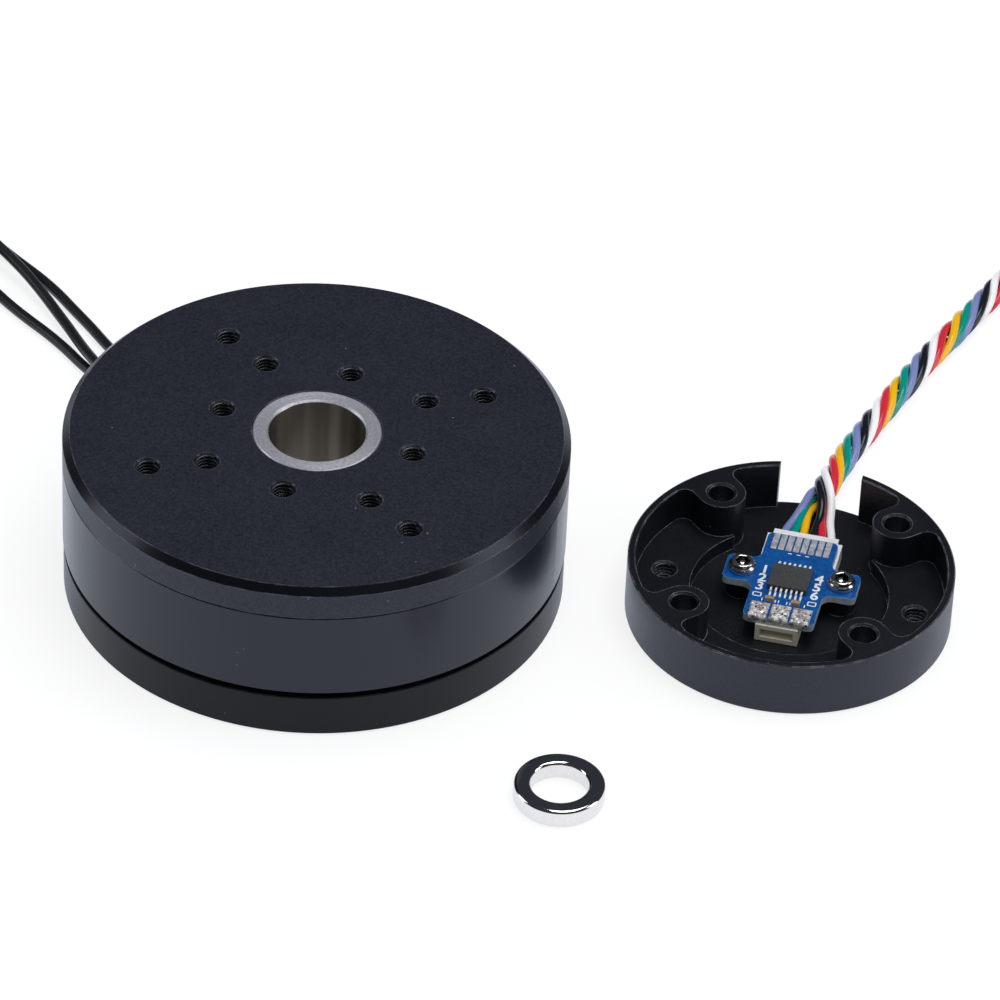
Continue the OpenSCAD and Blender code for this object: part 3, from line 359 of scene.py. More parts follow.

# %% [markdown]
# ## One recipe for the plain finishes
# Anodised aluminium, turned steel, moulded nylon and rubber share one build: a base
# colour moved by grain, edges lighter as wear and as a painted highlight, roughness moved
# by smudges, and a fine bump. A chamfer or a screw socket can also get painted shade. A
# function with these as named arguments keeps the finishes comparable, and each finish is
# then one short line that reads like a paint shop's card.


# %% Recipe for a finish
FINISHES = {}
FINE_BUMP = 0.00003
CHAMFER_TILT = (0.68, 0.2)
CHAMFER_ROUGHNESS = 0.24
DUST_COLOUR = (0.5, 0.5, 0.52)
# Painted shade inside the screw sockets.
PAINTED_SHADE_COLOUR = (0.02, 0.02, 0.022)


def spaced(feeds):
    return {label.replace("_", " "): value for label, value in feeds.items()}


def use(group, first, **others):
    """A shader group's outputs; its first input is the place, or the position on a line."""
    feeds = {0: first, **spaced(others)}
    return put(first, "ShaderNodeGroup", feeds, node_tree=GROUPS[group]).outputs


def blank_finish(name, **sockets):
    material = bpy.data.materials.new(name)
    tree = empty_tree(material)
    body = put(tree, "ShaderNodeBsdfPrincipled", spaced(sockets))
    put(tree, "ShaderNodeOutputMaterial", {"Surface": body.outputs[0]})
    FINISHES[name] = material
    return tree, body


def surface(body, colours, rough, height, strength, distance=FINE_BUMP):
    bump = {"Height": height, "Strength": strength, "Distance": distance}
    feed(body.inputs["Base Color"], colours)
    feed(body.inputs["Roughness"], rough)
    feed(body.inputs["Normal"], put(body, "ShaderNodeBump", bump).outputs[0])


def varied(share, colour, shift):
    """The colour, darker where the share is low and as much lighter where it is high."""
    darker, lighter = ([min(1.0, v * f) for v in colour] for f in (1 - shift, 1 + shift))
    return blend(share, darker, lighter)


def centred(tree, centre):
    if centre == (0, 0):
        return where(tree)
    feeds = {"Vector": where(tree), "Location": (-centre[0] * MM, -centre[1] * MM, 0)}
    return put(tree, "ShaderNodeMapping", feeds).outputs[0]


def finish(
    name, colour, roughness, edge_wear_and_highlight, metallic=0.0, specular=0.5, grain=(3000, 0.1),
    shift=0.15, rings=None, edge_width=0.00018, smudge=0.06, dust=None, centre=(0, 0),
    painted_chamfer_shade=None, hollow=None, gloss_tint=WHITE,
):
    """Grain and rings are given as how many there are to a metre, and how deep they are."""
    tree, body = blank_finish(
        name, Metallic=metallic, Specular_IOR_Level=specular, Specular_Tint=gloss_tint
    )
    place = centred(tree, centre)
    grains_per_metre, depth = grain
    height = use("fine_grain", place, Grains_per_metre=grains_per_metre)["Grain"]
    touched = use("handling", place)
    colours = varied(height, colour, shift)
    rough = between(touched["Smudge"], roughness - smudge, roughness + smudge)
    # Chamfers, found by how far their faces tilt, get a darker colour as painted shade, and a
    # smoother roughness without grain bump.
    if painted_chamfer_shade:
        upward = height_of(where(tree, "Normal"))
        slanted = sums("COMPARE", upward, *CHAMFER_TILT)
        colours = blend(slanted, colours, painted_chamfer_shade)
        rough = between(slanted, rough, CHAMFER_ROUGHNESS)
        depth = product(sums("SUBTRACT", 1.0, slanted), depth)
    # Lighter edges: partly rubbed wear, partly a painted highlight.
    edge = use("rubbed_and_highlit_edges", place, Width=edge_width)["Edge wear and highlight"]
    colours = blend(edge, colours, edge_wear_and_highlight)
    if dust:
        share = product(touched["Dust"], dust)
        colours = blend(share, colours, DUST_COLOUR)
    # Painted shade in the screw socket, set by a number on each vertex.
    if hollow:
        painted_shade_share = put(tree, "ShaderNodeAttribute", attribute_name=hollow).outputs["Fac"]
        colours = blend(painted_shade_share, colours, PAINTED_SHADE_COLOUR)
    if rings:
        marks = use("turned_marks", place, Rings_per_metre=rings[0])["Rings"]
        marks = product(marks, rings[1])
        height = sums("ADD", marks, product(height, depth))
        depth = 1.0
    surface(body, colours, rough, height, depth)


# %% Finishes of the motor, the cover and the small parts
# The fourth value of each finish is its edge colour, partly wear and partly a painted highlight.
COVER_AT = (58.0, 14.5)
RING_AT = (42.2, -30.0)
COOL_GLOSS = (0.86, 0.88, 1)

# The cap's chamfers get a darker colour as painted shade.
finish(
    "black_anodised", (0.0165, 0.019, 0.0285), 0.42, tone(104, 109, 120), specular=0.4,
    grain=(3100, 0.6), shift=0.45, edge_width=0.0002, dust=0.35, painted_chamfer_shade=(0.003, 0.0035, 0.005),
    gloss_tint=COOL_GLOSS,
)
finish(
    "black_base", (0.0045, 0.005, 0.0065), 0.34, tone(56, 58, 66), specular=0.22, grain=(4200, 0.2),
    shift=0.25, edge_width=0.00012, dust=0.2,
)
finish(
    "black_band", (0.008, 0.0095, 0.018), 0.22, tone(66, 70, 80), specular=0.42, grain=(4200, 0.18),
    rings=(9000, 0.08), edge_width=0.00012, dust=0.2, smudge=0.03,
)
finish(
    "bearing_steel", (0.66, 0.66, 0.67), 0.16, (0.85, 0.85, 0.86), metallic=1.0, rings=(12000, 0.2),
    smudge=0.04,
)
finish("pressed_steel", (0.55, 0.55, 0.56), 0.3, (0.8, 0.8, 0.82), metallic=1.0, rings=(5000, 0.25))
finish("flux_steel", (0.42, 0.41, 0.41), 0.38, (0.66, 0.66, 0.67), metallic=1.0, rings=(4000, 0.5))
finish(
    "spring_steel", (0.11, 0.11, 0.12), 0.42, (0.45, 0.45, 0.47), metallic=0.85, grain=(3600, 0.3)
)
finish(
    "nickel_magnet", (0.93, 0.87, 0.8), 0.08, (0.95, 0.95, 0.95), metallic=1.0, grain=(1600, 0.05),
    shift=0.03, smudge=0.03, centre=RING_AT,
)
finish("white_nylon", (0.78, 0.77, 0.73), 0.5, (0.9, 0.9, 0.87), grain=(1500, 0.15), shift=0.04)
finish("cage_nylon", (0.62, 0.55, 0.4), 0.48, (0.75, 0.68, 0.52), grain=(1800, 0.2), shift=0.06)
finish(
    "black_rubber", (0.012, 0.012, 0.013), 0.62, tone(60, 60, 64), specular=0.35, grain=(3200, 0.4),
    dust=0.6,
)
finish("heat_shrink", (0.014, 0.014, 0.015), 0.42, tone(64, 64, 68), grain=(2200, 0.3))
finish("black_plug", (0.014, 0.014, 0.015), 0.34, tone(86, 86, 90), grain=(2400, 0.25), dust=0.3)
finish("black_tie", (0.018, 0.018, 0.019), 0.4, tone(80, 80, 84), grain=(1800, 0.25))
finish(
    "cover_anodised", (0.0062, 0.0068, 0.0092), 0.34, tone(156, 159, 168), specular=0.55,
    grain=(3600, 0.5), shift=0.5, edge_width=0.00015, dust=0.6, centre=COVER_AT,
    gloss_tint=COOL_GLOSS,
)
finish(
    "polished_screw", (0.74, 0.7, 0.65), 0.22, (0.95, 0.94, 0.9), metallic=1.0, grain=(2400, 0.06),
    shift=0.06, edge_width=0.00006, smudge=0.05, centre=COVER_AT, hollow="hollow",
)
finish(
    "tin_plate", (0.94, 0.93, 0.91), 0.45, (0.95, 0.95, 0.93), metallic=0.2, grain=(5200, 0.2),
    shift=0.1, edge_width=0.00005,
)
finish(
    "chip_black", (0.05, 0.05, 0.053), 0.5, tone(98, 96, 100), grain=(4500, 0.6), shift=0.4,
    edge_width=0.00008,
)
finish(
    "capacitor_brown", (0.36, 0.2, 0.11), 0.45, (0.6, 0.58, 0.54), grain=(7000, 0.4), shift=0.2,
    edge_width=0.00012,
)
finish(
    "white_connector", (0.8, 0.8, 0.83), 0.36, (0.92, 0.92, 0.94), grain=(1600, 0.12), shift=0.03
)
finish(
    "cream_connector", (0.8, 0.76, 0.62), 0.46, (0.82, 0.79, 0.66), grain=(2600, 0.2), shift=0.07
)
finish(
    "cut_thread", (0.05, 0.052, 0.06), 0.28, (0.5, 0.5, 0.52), metallic=0.6, grain=(4000, 0.2),
    edge_width=0.0001,
)
print("plain finishes:", len(FINISHES))

# %% [markdown]
# ## Finishes that need their own pattern
# The circuit board is blue mask over glass fibre, so its sawn edges are pale. The pads
# are tin left by a hot-air level, which sets in grey patches. The stator is a stack of
# thin sheets with copper wire wound on its teeth: both are even ridges, one along the
# height and the other along the radius. The hollow shaft has two looks in one piece: its
# head is faced bright, and its bore is ground, and painted dark as shade, with soft bands
# of painted reflection down it.

# %% Board, solder, laminations and windings
FINE_EDGE = 0.00012
# Painted shade in solder pits.
PIT_PAINTED_SHADE = (0.02, 0.02, 0.02)
BORE_R = 6.0
BORE_SKIN = (0.04, 0.1)


def blue_board():
    tree, body = blank_finish(
        "blue_board", Specular_IOR_Level=0.4, Coat_Weight=0.15, Coat_Roughness=0.2
    )
    place = centred(tree, COVER_AT)
    upward = sums("ABSOLUTE", height_of(where(tree, "Normal")))
    sawn = spread(upward, 0.5, 0.6, 1, 0)
    glass = noise(place, 1800.0, 4.0)
    fibre = blend(glass, tone(96, 126, 156), tone(208, 216, 216))
    weave = use("mottling", place, Patches_per_metre=1500.0)["Mottle"]
    mask = blend(weave, tone(0, 68, 138), tone(0, 86, 160))
    # Lighter mask on the edges: partly wear, partly a painted highlight.
    edge = use("rubbed_and_highlit_edges", place, Width=FINE_EDGE)["Edge wear and highlight"]
    mask = blend(edge, mask, tone(120, 170, 215))
    colours = blend(sawn, mask, fibre)
    surface(body, colours, between(sawn, 0.32, 0.75), weave, 0.2, 0.00002)


def solder(name, dull, bright, painted_pit_shade):
    tree, body = blank_finish(name, Metallic=0.45)
    place = centred(tree, COVER_AT)
    marks = use("mottling", place, Patches_per_metre=1300.0)
    mottle = marks["Mottle"]
    colours = blend(mottle, dull, bright)
    # Black pits are painted shade in small recesses.
    if painted_pit_shade:
        colours = blend(marks["Pit shade"], colours, PIT_PAINTED_SHADE)
    surface(body, colours, between(mottle, 0.5, 0.22), mottle, 0.8, 0.00005)


def layered(name, low, high, pitch, along, metallic, roughness):
    tree, body = blank_finish(name, Metallic=metallic)
    place = where(tree)
    position = height_of(place) if along == "height" else flattened(place)[1]
    ridge = use("even_layers", position, Pitch=pitch * MM)["Ridge"]
    patch = use("handling", place, Size=400.0)["Smudge"]
    shade = product(ridge, between(patch, 0.7, 1.0))
    rough = between(patch, roughness - 0.06, roughness + 0.06)
    surface(body, blend(shade, low, high), rough, ridge, 0.7, 0.00008)


def hollow_steel():
    tree, body = blank_finish("turned_steel", Metallic=0.85)
    place = where(tree)
    flat, radius = flattened(place)
    # The bore wall is painted dark as shade, with soft bands of painted reflection; it is also
    # smoother.
    bore = spread(radius, *[(BORE_R + skin) * MM for skin in BORE_SKIN], 1, 0)
    painted_reflection_bands = stretched(noise(flat, 260.0))
    painted_dark = blend(painted_reflection_bands, (0.13, 0.12, 0.105), (0.6, 0.55, 0.48))
    fine = use("fine_grain", place, Grains_per_metre=2600.0)["Grain"]
    bright = blend(fine, (0.62, 0.62, 0.67), (0.86, 0.86, 0.92))
    # Lighter edges on the faced head: partly wear, partly a painted highlight.
    edge = use("rubbed_and_highlit_edges", place, Width=FINE_EDGE)["Edge wear and highlight"]
    bright = blend(edge, bright, (0.92, 0.92, 0.95))
    colours = blend(bore, bright, painted_dark)
    marks = use("turned_marks", place, Rings_per_metre=7000.0)["Rings"]
    marks = product(marks, 0.6)
    height = sums("ADD", marks, product(fine, 0.2))
    rough, depth = between(bore, 0.45, 0.22), between(bore, 1.0, 0.1)
    surface(body, colours, rough, height, depth)


hollow_steel()
blue_board()
solder("hot_air_tin", tone(158, 162, 176), tone(228, 226, 224), False)
# The hand solder's white patches are partly grain and partly painted highlight, and its black pits
# are painted shade.
solder("hand_solder", tone(140, 128, 122), WHITE, True)
layered("laminations", (0.1, 0.1, 0.11), (0.42, 0.42, 0.43), 0.35, "height", 0.9, 0.4)
layered("windings", (0.2, 0.06, 0.02), (0.75, 0.34, 0.14), 0.36, "radius", 0.85, 0.3)
print("finishes in all:", len(FINISHES))

# %% [markdown]
# ## Dress the solids
# Each CAD solid keeps its shape and gets one finish. The list runs finish by finish, as
# a purchasing list would, and every node of the frame that keeps its shape appears once.

# %% Which solid wears which finish
WEARS = {
    "black_anodised": "rotor_cap",
    "black_base": "base_housing",
    "black_band": "rotor_band",
    "turned_steel": "hollow_shaft",
    "bearing_steel": "upper_bearing_outer lower_bearing_outer upper_bearing_inner "
    "lower_bearing_inner upper_bearing_balls lower_bearing_balls",
    "pressed_steel": "upper_bearing_shields lower_bearing_shields shim_washer",
    "flux_steel": "flux_ring",
    "spring_steel": "retaining_ring",
    "nickel_magnet": "rotor_magnets ring_magnet",
    "laminations": "stator_core",
    "windings": "stator_windings",
    "white_nylon": "upper_insulator lower_insulator",
    "cage_nylon": "upper_bearing_cage lower_bearing_cage",
    "heat_shrink": "inner_leads lead_sleeves",
    "black_rubber": "lead_grommet",
    "black_plug": "lead_plug",
    "tin_plate": "lead_contacts far_contacts chip_pins",
    "black_tie": "lead_tie cable_tie",
    "cover_anodised": "encoder_cover",
    "blue_board": "encoder_board",
    "polished_screw": "board_screws",
    "chip_black": "sensor_chip",
    "hot_air_tin": "tinned_pads",
    "hand_solder": "solder_pads",
    "capacitor_brown": "capacitors",
    "white_connector": "cable_socket cable_plug far_plug",
    "cream_connector": "spare_socket",
}

for name, wearers in WEARS.items():
    for node in wearers.split():
        for slot in NODES[node].material_slots:
            slot.material = FINISHES[name]
print("solids dressed:", sum(len(wearers.split()) for wearers in WEARS.values()))

# %% [markdown]
# ## The paths of the leads
# A cord is a fixed length of something flexible. Each one leaves its exit straight,
# comes down to the table in a few centimetres, and follows the loose curve of the
# picture. The length that the picture doesn't show is wound up flat beside the view. The
# route points are those of the CAD model, and a smooth curve is drawn through them.

# %% Points of the three motor leads
LEAD_D = 1.4
EXIT_ANGLE = 145
EXIT_R = 32.3
EXIT_Z = 4.2
EXIT_PITCH = 2.1
LEAD_SIDE = [-1, 1, 0]
LEAD_LEVEL = [1, 2, 0]
LEAD_FAN = [0, 1, -1]
LEAD_LENGTH = 610
LEAD_ROUTES = [[
    (-28.6, 22.6, 3.4), (-31.9, 25.3, 2.8), (-35.1, 28.3, 1.8), (-38.2, 31.3, 0.7),
    (-41.2, 34.2, 0.1), (-44.4, 37, 0), (-47.9, 39.8, 0), (-51.3, 42.5, 0), (-54.7, 44.8, 0),
    (-59.3, 47.4, 0.1), (-64.1, 49.8, 0.7), (-68.7, 52, 1.8), (-73.3, 54.2, 2.4),
], [
    (-30.9, 19.1, 3.4), (-34.1, 21.8, 3.3), (-37.4, 24.8, 2.8), (-40.6, 28, 2.1),
    (-43.5, 31.2, 1.4), (-46.4, 34.5, 0.9), (-49.4, 37.6, 0.7), (-52.5, 40.4, 1), (-55.8, 43, 1.5),
    (-59.2, 45.3, 2), (-63.8, 47.8, 3), (-68.5, 50.5, 3.9), (-73.2, 53.7, 4.4),
], [
    (-29.7, 20.8, 3.3), (-33, 22.9, 2.2), (-36.3, 25, 0.9), (-39.5, 27, 0.2), (-42.5, 29, 0),
    (-45.9, 31.5, 0), (-49.3, 33.7, 0), (-52.8, 35.7, 0), (-56.2, 37.8, 0), (-59.6, 40.2, 0),
    (-63.2, 43.3, 0), (-67.2, 47.4, 0.1), (-72.2, 52.8, 0.3),
]]
LEAD_COIL = {
    "at": (-88, 35), "r": 23.6, "start": 65, "way": 1, "pitch": LEAD_D + 0.6,
    "tail_r": 4, "tail_angle": 110, "tail_turn": 231, "handle": 8, "tail_l": 22,
}
LEAD_LAYER = LEAD_D + 0.4
LEAD_COIL_Z = LEAD_D / 2 + 0.47
PLUG_PITCH = 2.54
PLUG_T = 2.5

# %% Points of the encoder cable
CABLE_D = 3.3
CABLE_LENGTH = 300
COVER_TURN = 5
CABLE_START = (0, 11.3)
CABLE_START_Z = 1.1 + CABLE_D / 2
CABLE_ROUTE = [
    (56.6, 30, 1.1), (56.4, 34.5, 1.1), (56.4, 39, 0.7), (56.7, 44, 0.2), (57.3, 49, 0),
    (58.2, 54.5, 0), (59.2, 60, 0), (60.3, 65.5, 0), (61.5, 71, 0), (62.9, 76.5, 0),
    (64.3, 82, 0), (65.7, 88, 0), (67.4, 94.5, 0.2),
]
CABLE_COIL = {
    "at": (92, 97), "r": 23, "start": 168, "way": -1, "pitch": CABLE_D + 0.8,
    "tail_r": 7, "tail_angle": 100, "tail_turn": 211, "handle": 8, "tail_l": 24.5,
}
CABLE_COIL_Z = 2.37
COIL_STEPS = 24
TAIL_STEPS = 12
A_LITTLE = 0.01
TAIL_FAN_SHARE = (0.2, 0.9)
TAIL_DROP_SHARE = (0.5, 1.0)


# %% [markdown]
# The coil is an inward spiral, and its end leaves it on one smooth bend towards the
# plug. The three leads fan out there, because the plug holds them side by side.


# %% Coil and tail of a cord
def turned(v, degrees):
    c, s = cos(radians(degrees)), sin(radians(degrees))
    return np.array([v[0] * c - v[1] * s, v[0] * s + v[1] * c])


def heading(degrees):
    return turned((1, 0), degrees)


def eased(t, share):
    u = min(max((t - share[0]) / (share[1] - share[0]), 0), 1)
    return u * u * (3 - 2 * u)


def length_of(points):
    return float(np.linalg.norm(np.diff(np.array(points), axis=0), axis=1).sum())


def bezier(a, b, c, d, t):
    return (1 - t) ** 3 * a + 3 * t * (1 - t) ** 2 * b + 3 * t * t * (1 - t) * c + t**3 * d


def coil_turns(length, coil):
    r, pitch = coil["r"], coil["pitch"]
    return (r - sqrt(r * r - pitch * length / pi)) / pitch


def spiral(coil, turns, z):
    steps = ceil(turns * COIL_STEPS)
    points = []
    for i in range(steps + 1):
        share = i / steps
        q = coil["r"] - coil["pitch"] * turns * share
        way = heading(coil["start"] + coil["way"] * 360 * turns * share)
        x, y = np.array(coil["at"]) + q * way
        points.append((x, y, z))
    return points


def tail(coil, turns, z0, z1, aside, straight):
    way, at, handle = coil["way"], np.array(coil["at"], float), coil["handle"]
    end = coil["start"] + way * 360 * turns
    a = at + (coil["r"] - coil["pitch"] * turns) * heading(end)
    to = at + coil["tail_r"] * heading(end + way * coil["tail_angle"])
    to_dir = heading(end + way * coil["tail_turn"])
    c = to - straight * to_dir
    bend = (a, a + handle * heading(end + way * 90), c - handle * to_dir, c)
    points = []
    for i in range(1, TAIL_STEPS + 1):
        t = i / TAIL_STEPS
        q = bezier(*bend, t)
        run = q - bezier(*bend, t - A_LITTLE)
        x, y = q + aside * eased(t, TAIL_FAN_SHARE) * turned(run / np.linalg.norm(run), 90)
        points.append((x, y, z0 + (z1 - z0) * eased(t, TAIL_DROP_SHARE)))
    x, y = to + aside * turned(to_dir, 90)
    points.append((x, y, z1))
    return points


def whole_cord(free, length, coil, z0, z1, aside, straight, turns=None):
    if turns is None:
        turns = coil_turns(length - length_of(free) - coil["tail_l"], coil)
    wound = spiral(coil, turns, z0) + tail(coil, turns, z0, z1, aside, straight)
    return free[:-1] + wound, turns


def coil_start(coil):
    return np.array(coil["at"]) + coil["r"] * heading(coil["start"])


def lead_path(k, turns):
    out = heading(EXIT_ANGLE)
    x, y = EXIT_R * out + LEAD_SIDE[k] * EXIT_PITCH * turned(out, 90)
    level = LEAD_COIL_Z + LEAD_LEVEL[k] * LEAD_LAYER
    route = [(px, py, pz + LEAD_D / 2) for px, py, pz in LEAD_ROUTES[k]]
    free = [(x, y, EXIT_Z), *route, (*coil_start(LEAD_COIL), level)]
    aside = LEAD_FAN[k] * PLUG_PITCH
    return whole_cord(free, LEAD_LENGTH, LEAD_COIL, level, PLUG_T / 2, aside, LEAD_D, turns)


LEAD_PATHS = []
lead_turns = None
for k in range(3):
    path, lead_turns = lead_path(k, lead_turns)
    LEAD_PATHS.append(path)

cable_free = [
    (*(np.array(COVER_AT) + turned(CABLE_START, COVER_TURN)), CABLE_START_Z),
    *[(x, y, z + CABLE_D / 2) for x, y, z in CABLE_ROUTE],
    (*coil_start(CABLE_COIL), CABLE_COIL_Z),
]
CABLE_PATH, _ = whole_cord(
    cable_free, CABLE_LENGTH, CABLE_COIL, CABLE_COIL_Z, CABLE_D / 2, 0, CABLE_D
)
print("paths in mm:", [round(length_of(p), 1) for p in (*LEAD_PATHS, CABLE_PATH)])

# %% [markdown]
# ## Tubes along a path
# A lead is a round tube swept along its path. The sweep is written out here instead of
# using a bevelled curve, because the same function then also lays six strands round one
# centre line. A smooth curve runs through the route points, rings are set along it at an
# even spacing, and each ring is turned as little as possible from the one before.

# %% Sweeping a tube
CURVE_STEPS = 8


def smooth(points, step):
    """Points at an even spacing on a Catmull-Rom curve through the given ones."""
    p = np.array(points, float)
    p = np.vstack([2 * p[0] - p[1], p, 2 * p[-1] - p[-2]])
    fine = []
    for a, b, c, d in zip(p[:-3], p[1:-2], p[2:-1], p[3:]):
        for t in np.linspace(0, 1, CURVE_STEPS, endpoint=False):
            bend = 2 * b + (c - a) * t + (2 * a - 5 * b + 4 * c - d) * t**2
            fine.append(0.5 * (bend + (3 * b - a - 3 * c + d) * t**3))
    fine.append(p[-2])
    fine = np.array(fine)
    run = np.concatenate([[0], np.cumsum(np.linalg.norm(np.diff(fine, axis=0), axis=1))])
    at = np.linspace(0, run[-1], max(2, int(round(run[-1] / step))) + 1)
    return np.stack([np.interp(at, run, fine[:, i]) for i in range(3)], axis=1), at


def frames(line):
    """A sideways and an upward direction for each point, with no twist along the line."""
    ahead = np.gradient(line, axis=0)
    ahead /= np.linalg.norm(ahead, axis=1)[:, None]
    side = np.cross(ahead[0], (0, 0, 1.0))
    sides = []
    for a in ahead:
        side = side - a * (side @ a)
        side /= np.linalg.norm(side)
        sides.append(side)
    sides = np.array(sides)
    return sides, np.cross(sides, ahead)


def join_rings(mesh, a, b):
    """Smooth quads between two rings of vertices."""
    n = len(a)
    made = [mesh.faces.new((a[j], a[(j + 1) % n], b[(j + 1) % n], b[j])) for j in range(n)]
    for face in made:
        face.smooth = True
    return made


def sweep(mesh, line, at, radius, sides, index):
    """Adds a closed tube round the line, with a UV map in millimetres."""
    across, up = frames(line)
    layer = mesh.loops.layers.uv.verify()
    turn = [2 * pi * j / sides for j in range(sides)]
    rings = [
        [mesh.verts.new((p + radius * (cos(a) * s + sin(a) * u)) * MM) for a in turn]
        for p, s, u in zip(line, across, up)
    ]
    for i, (a, b) in enumerate(zip(rings[:-1], rings[1:])):
        for j, face in enumerate(join_rings(mesh, a, b)):
            face.material_index = index
            corners = ((j, i), (j + 1, i), (j + 1, i + 1), (j, i + 1))
            for loop, (v, w) in zip(face.loops, corners):
                loop[layer].uv = (2 * pi * radius * v / sides, at[w])
    for ring in (rings[0], rings[-1]):
        mesh.faces.new(ring).material_index = index


def kept(name, data, body):
    """Puts a piece in the scene, on its body, and prints its name and number of faces."""
    piece = linked(name, data)
    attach(piece, body)
    print(name, "on the", body + ":", len(data.polygons), "faces")
    return piece


def finished_piece(name, mesh, finishes):
    bmesh.ops.recalc_face_normals(mesh, faces=mesh.faces)
    data = bpy.data.meshes.new(name)
    mesh.to_mesh(data)
    mesh.free()
    for worn in finishes:
        data.materials.append(FINISHES[worn])
    return kept(name, data, "stator")


# %% [markdown]
# ## The insulation of leads and strands
# Silicone and plastic insulation is drawn over the wire in one long pull, so its faint
# marks run along the cord. The pattern therefore follows the tube's own UV map, which
# counts millimetres round it and along it.

# %% Insulation
DRAWN_SCALE = (6, 0.35, 1)
SPECK_COLOUR = (0.55, 0.55, 0.56)


def insulation(name, colour, roughness, shift=0.12, dust=0.25):
    tree, body = blank_finish(name, Specular_IOR_Level=0.45)
    along = put(tree, "ShaderNodeUVMap").outputs["UV"]
    drawn = put(tree, "ShaderNodeMapping", {"Vector": along, "Scale": DRAWN_SCALE}).outputs[0]
    marks = stretched(noise(drawn, 1.0, 4.0))
    cloud = stretched(noise(along, 0.12, 3.0))
    specks = product(use("handling", where(tree))["Dust"], dust)
    colours = blend(specks, varied(marks, colour, shift), SPECK_COLOUR)
    rough = between(cloud, roughness - 0.07, roughness + 0.07)
    surface(body, colours, rough, marks, 0.25)


insulation("black_silicone", (0.011, 0.011, 0.012), 0.36)
print("finishes in all:", len(FINISHES))

# %% The three motor leads
LEAD_STEP = 0.9
LEAD_SIDES = 14


def motor_lead(k):
    path = LEAD_PATHS[k]
    line, at = smooth(path, LEAD_STEP)
    mesh = bmesh.new()
    sweep(mesh, line, at, LEAD_D / 2, LEAD_SIDES, 0)
    name = f"silicone_lead_{k + 1}"
    piece = finished_piece(name, mesh, ["black_silicone"])
    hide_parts(f"motor_lead_{k + 1}", f"lead_coil_{k + 1}")
    return at[-1]


print("motor leads:", [round(motor_lead(k), 1) for k in range(3)], "mm long")

# %% [markdown]
# ## The twisted encoder cable
# Six thin wires leave the board's plug side by side, come together within about a
# centimetre, and are twisted into one cable with a lay of some seventeen millimetres. Six
# equal round wires that touch each other sit on a circle of their own diameter. A twist
# made by hand is never even, so each wire wanders a little about its place. At the far
# plug they come apart again in the same order.

# %% The six strands
STRAND_D = 1.1
STRAND_LAY = 17.0
STRAND_STEP = 0.7
STRAND_SIDES = 12
STRAND_PITCH = (1.22, 1.4)
STRAND_FIRST_ANGLE = 152
WANDER = 0.13
WANDER_L = 23.0
WANDER_APART = 1.9
SWELL = (1.02, 0.05)
SWELL_L = 1.7 * WANDER_L
SWELL_APART = 2.6
FAN_OUT = (0.5, 11.0)
PLUG_Z = 2.2
STRAND_COLOURS = {
    "lavender_blue": tone(124, 137, 190),
    "teal_green": tone(0, 146, 132),
    "warm_yellow": tone(244, 186, 22),
    "soft_black": tone(26, 28, 36),
    "signal_red": tone(214, 44, 62),
    "clean_white": tone(250, 250, 253),
}
TURN_ORDER = [3, 2, 1, 4, 0, 5]


def strand(line, at, k):
    """Wire k's centre line: in the row of the plug at both ends, twisted between them."""
    across, up = frames(line)
    near = at < at[-1] / 2
    row = (k - 2.5) * np.where(near, *STRAND_PITCH)[:, None]
    turn = radians(STRAND_FIRST_ANGLE - 60 * TURN_ORDER[k]) + 2 * pi * at / STRAND_LAY
    turn += WANDER * np.sin(2 * pi * at / WANDER_L + WANDER_APART * k)
    swell = SWELL[0] + SWELL[1] * np.sin(2 * pi * at / SWELL_L + SWELL_APART * k)
    from_end = np.minimum(at, at[-1] - at)
    share = np.array([eased(v, FAN_OUT) for v in from_end])[:, None]
    twisted = np.cos(turn)[:, None] * across + np.sin(turn)[:, None] * up
    side = np.where(near, 1.0, -1.0)[:, None]
    drop = np.where(near, PLUG_Z - CABLE_START_Z, 0.0)[:, None] * up
    ring = STRAND_D * swell[:, None]
    return line + share * (ring * twisted) + (1 - share) * (side * row * across + drop)


def encoder_cable():
    line, at = smooth(CABLE_PATH, STRAND_STEP)
    mesh = bmesh.new()
    for k, (name, colour) in enumerate(STRAND_COLOURS.items()):
        insulation(name, colour, 0.17, 0.04, 0.1)
        sweep(mesh, strand(line, at, k), at, STRAND_D / 2, STRAND_SIDES, k)
    piece = finished_piece("twisted_cable", mesh, STRAND_COLOURS)
    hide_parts("encoder_cable", "cable_coil")
    return at[-1]


print("encoder cable:", round(encoder_cable(), 1), "mm long")

# %% [markdown]
# ## Threads in the tapped holes
# A tapped hole shows a few bright turns of its thread under its mouth. The same helix
# serves every hole, so Geometry Nodes draw it once, as a thin four-sided ridge along a
# spiral, and set a copy on each point of a small cloud that marks the holes.

# %% A thread in every hole
TURN_STEPS = 20
RIDGE_SUNK = 0.45


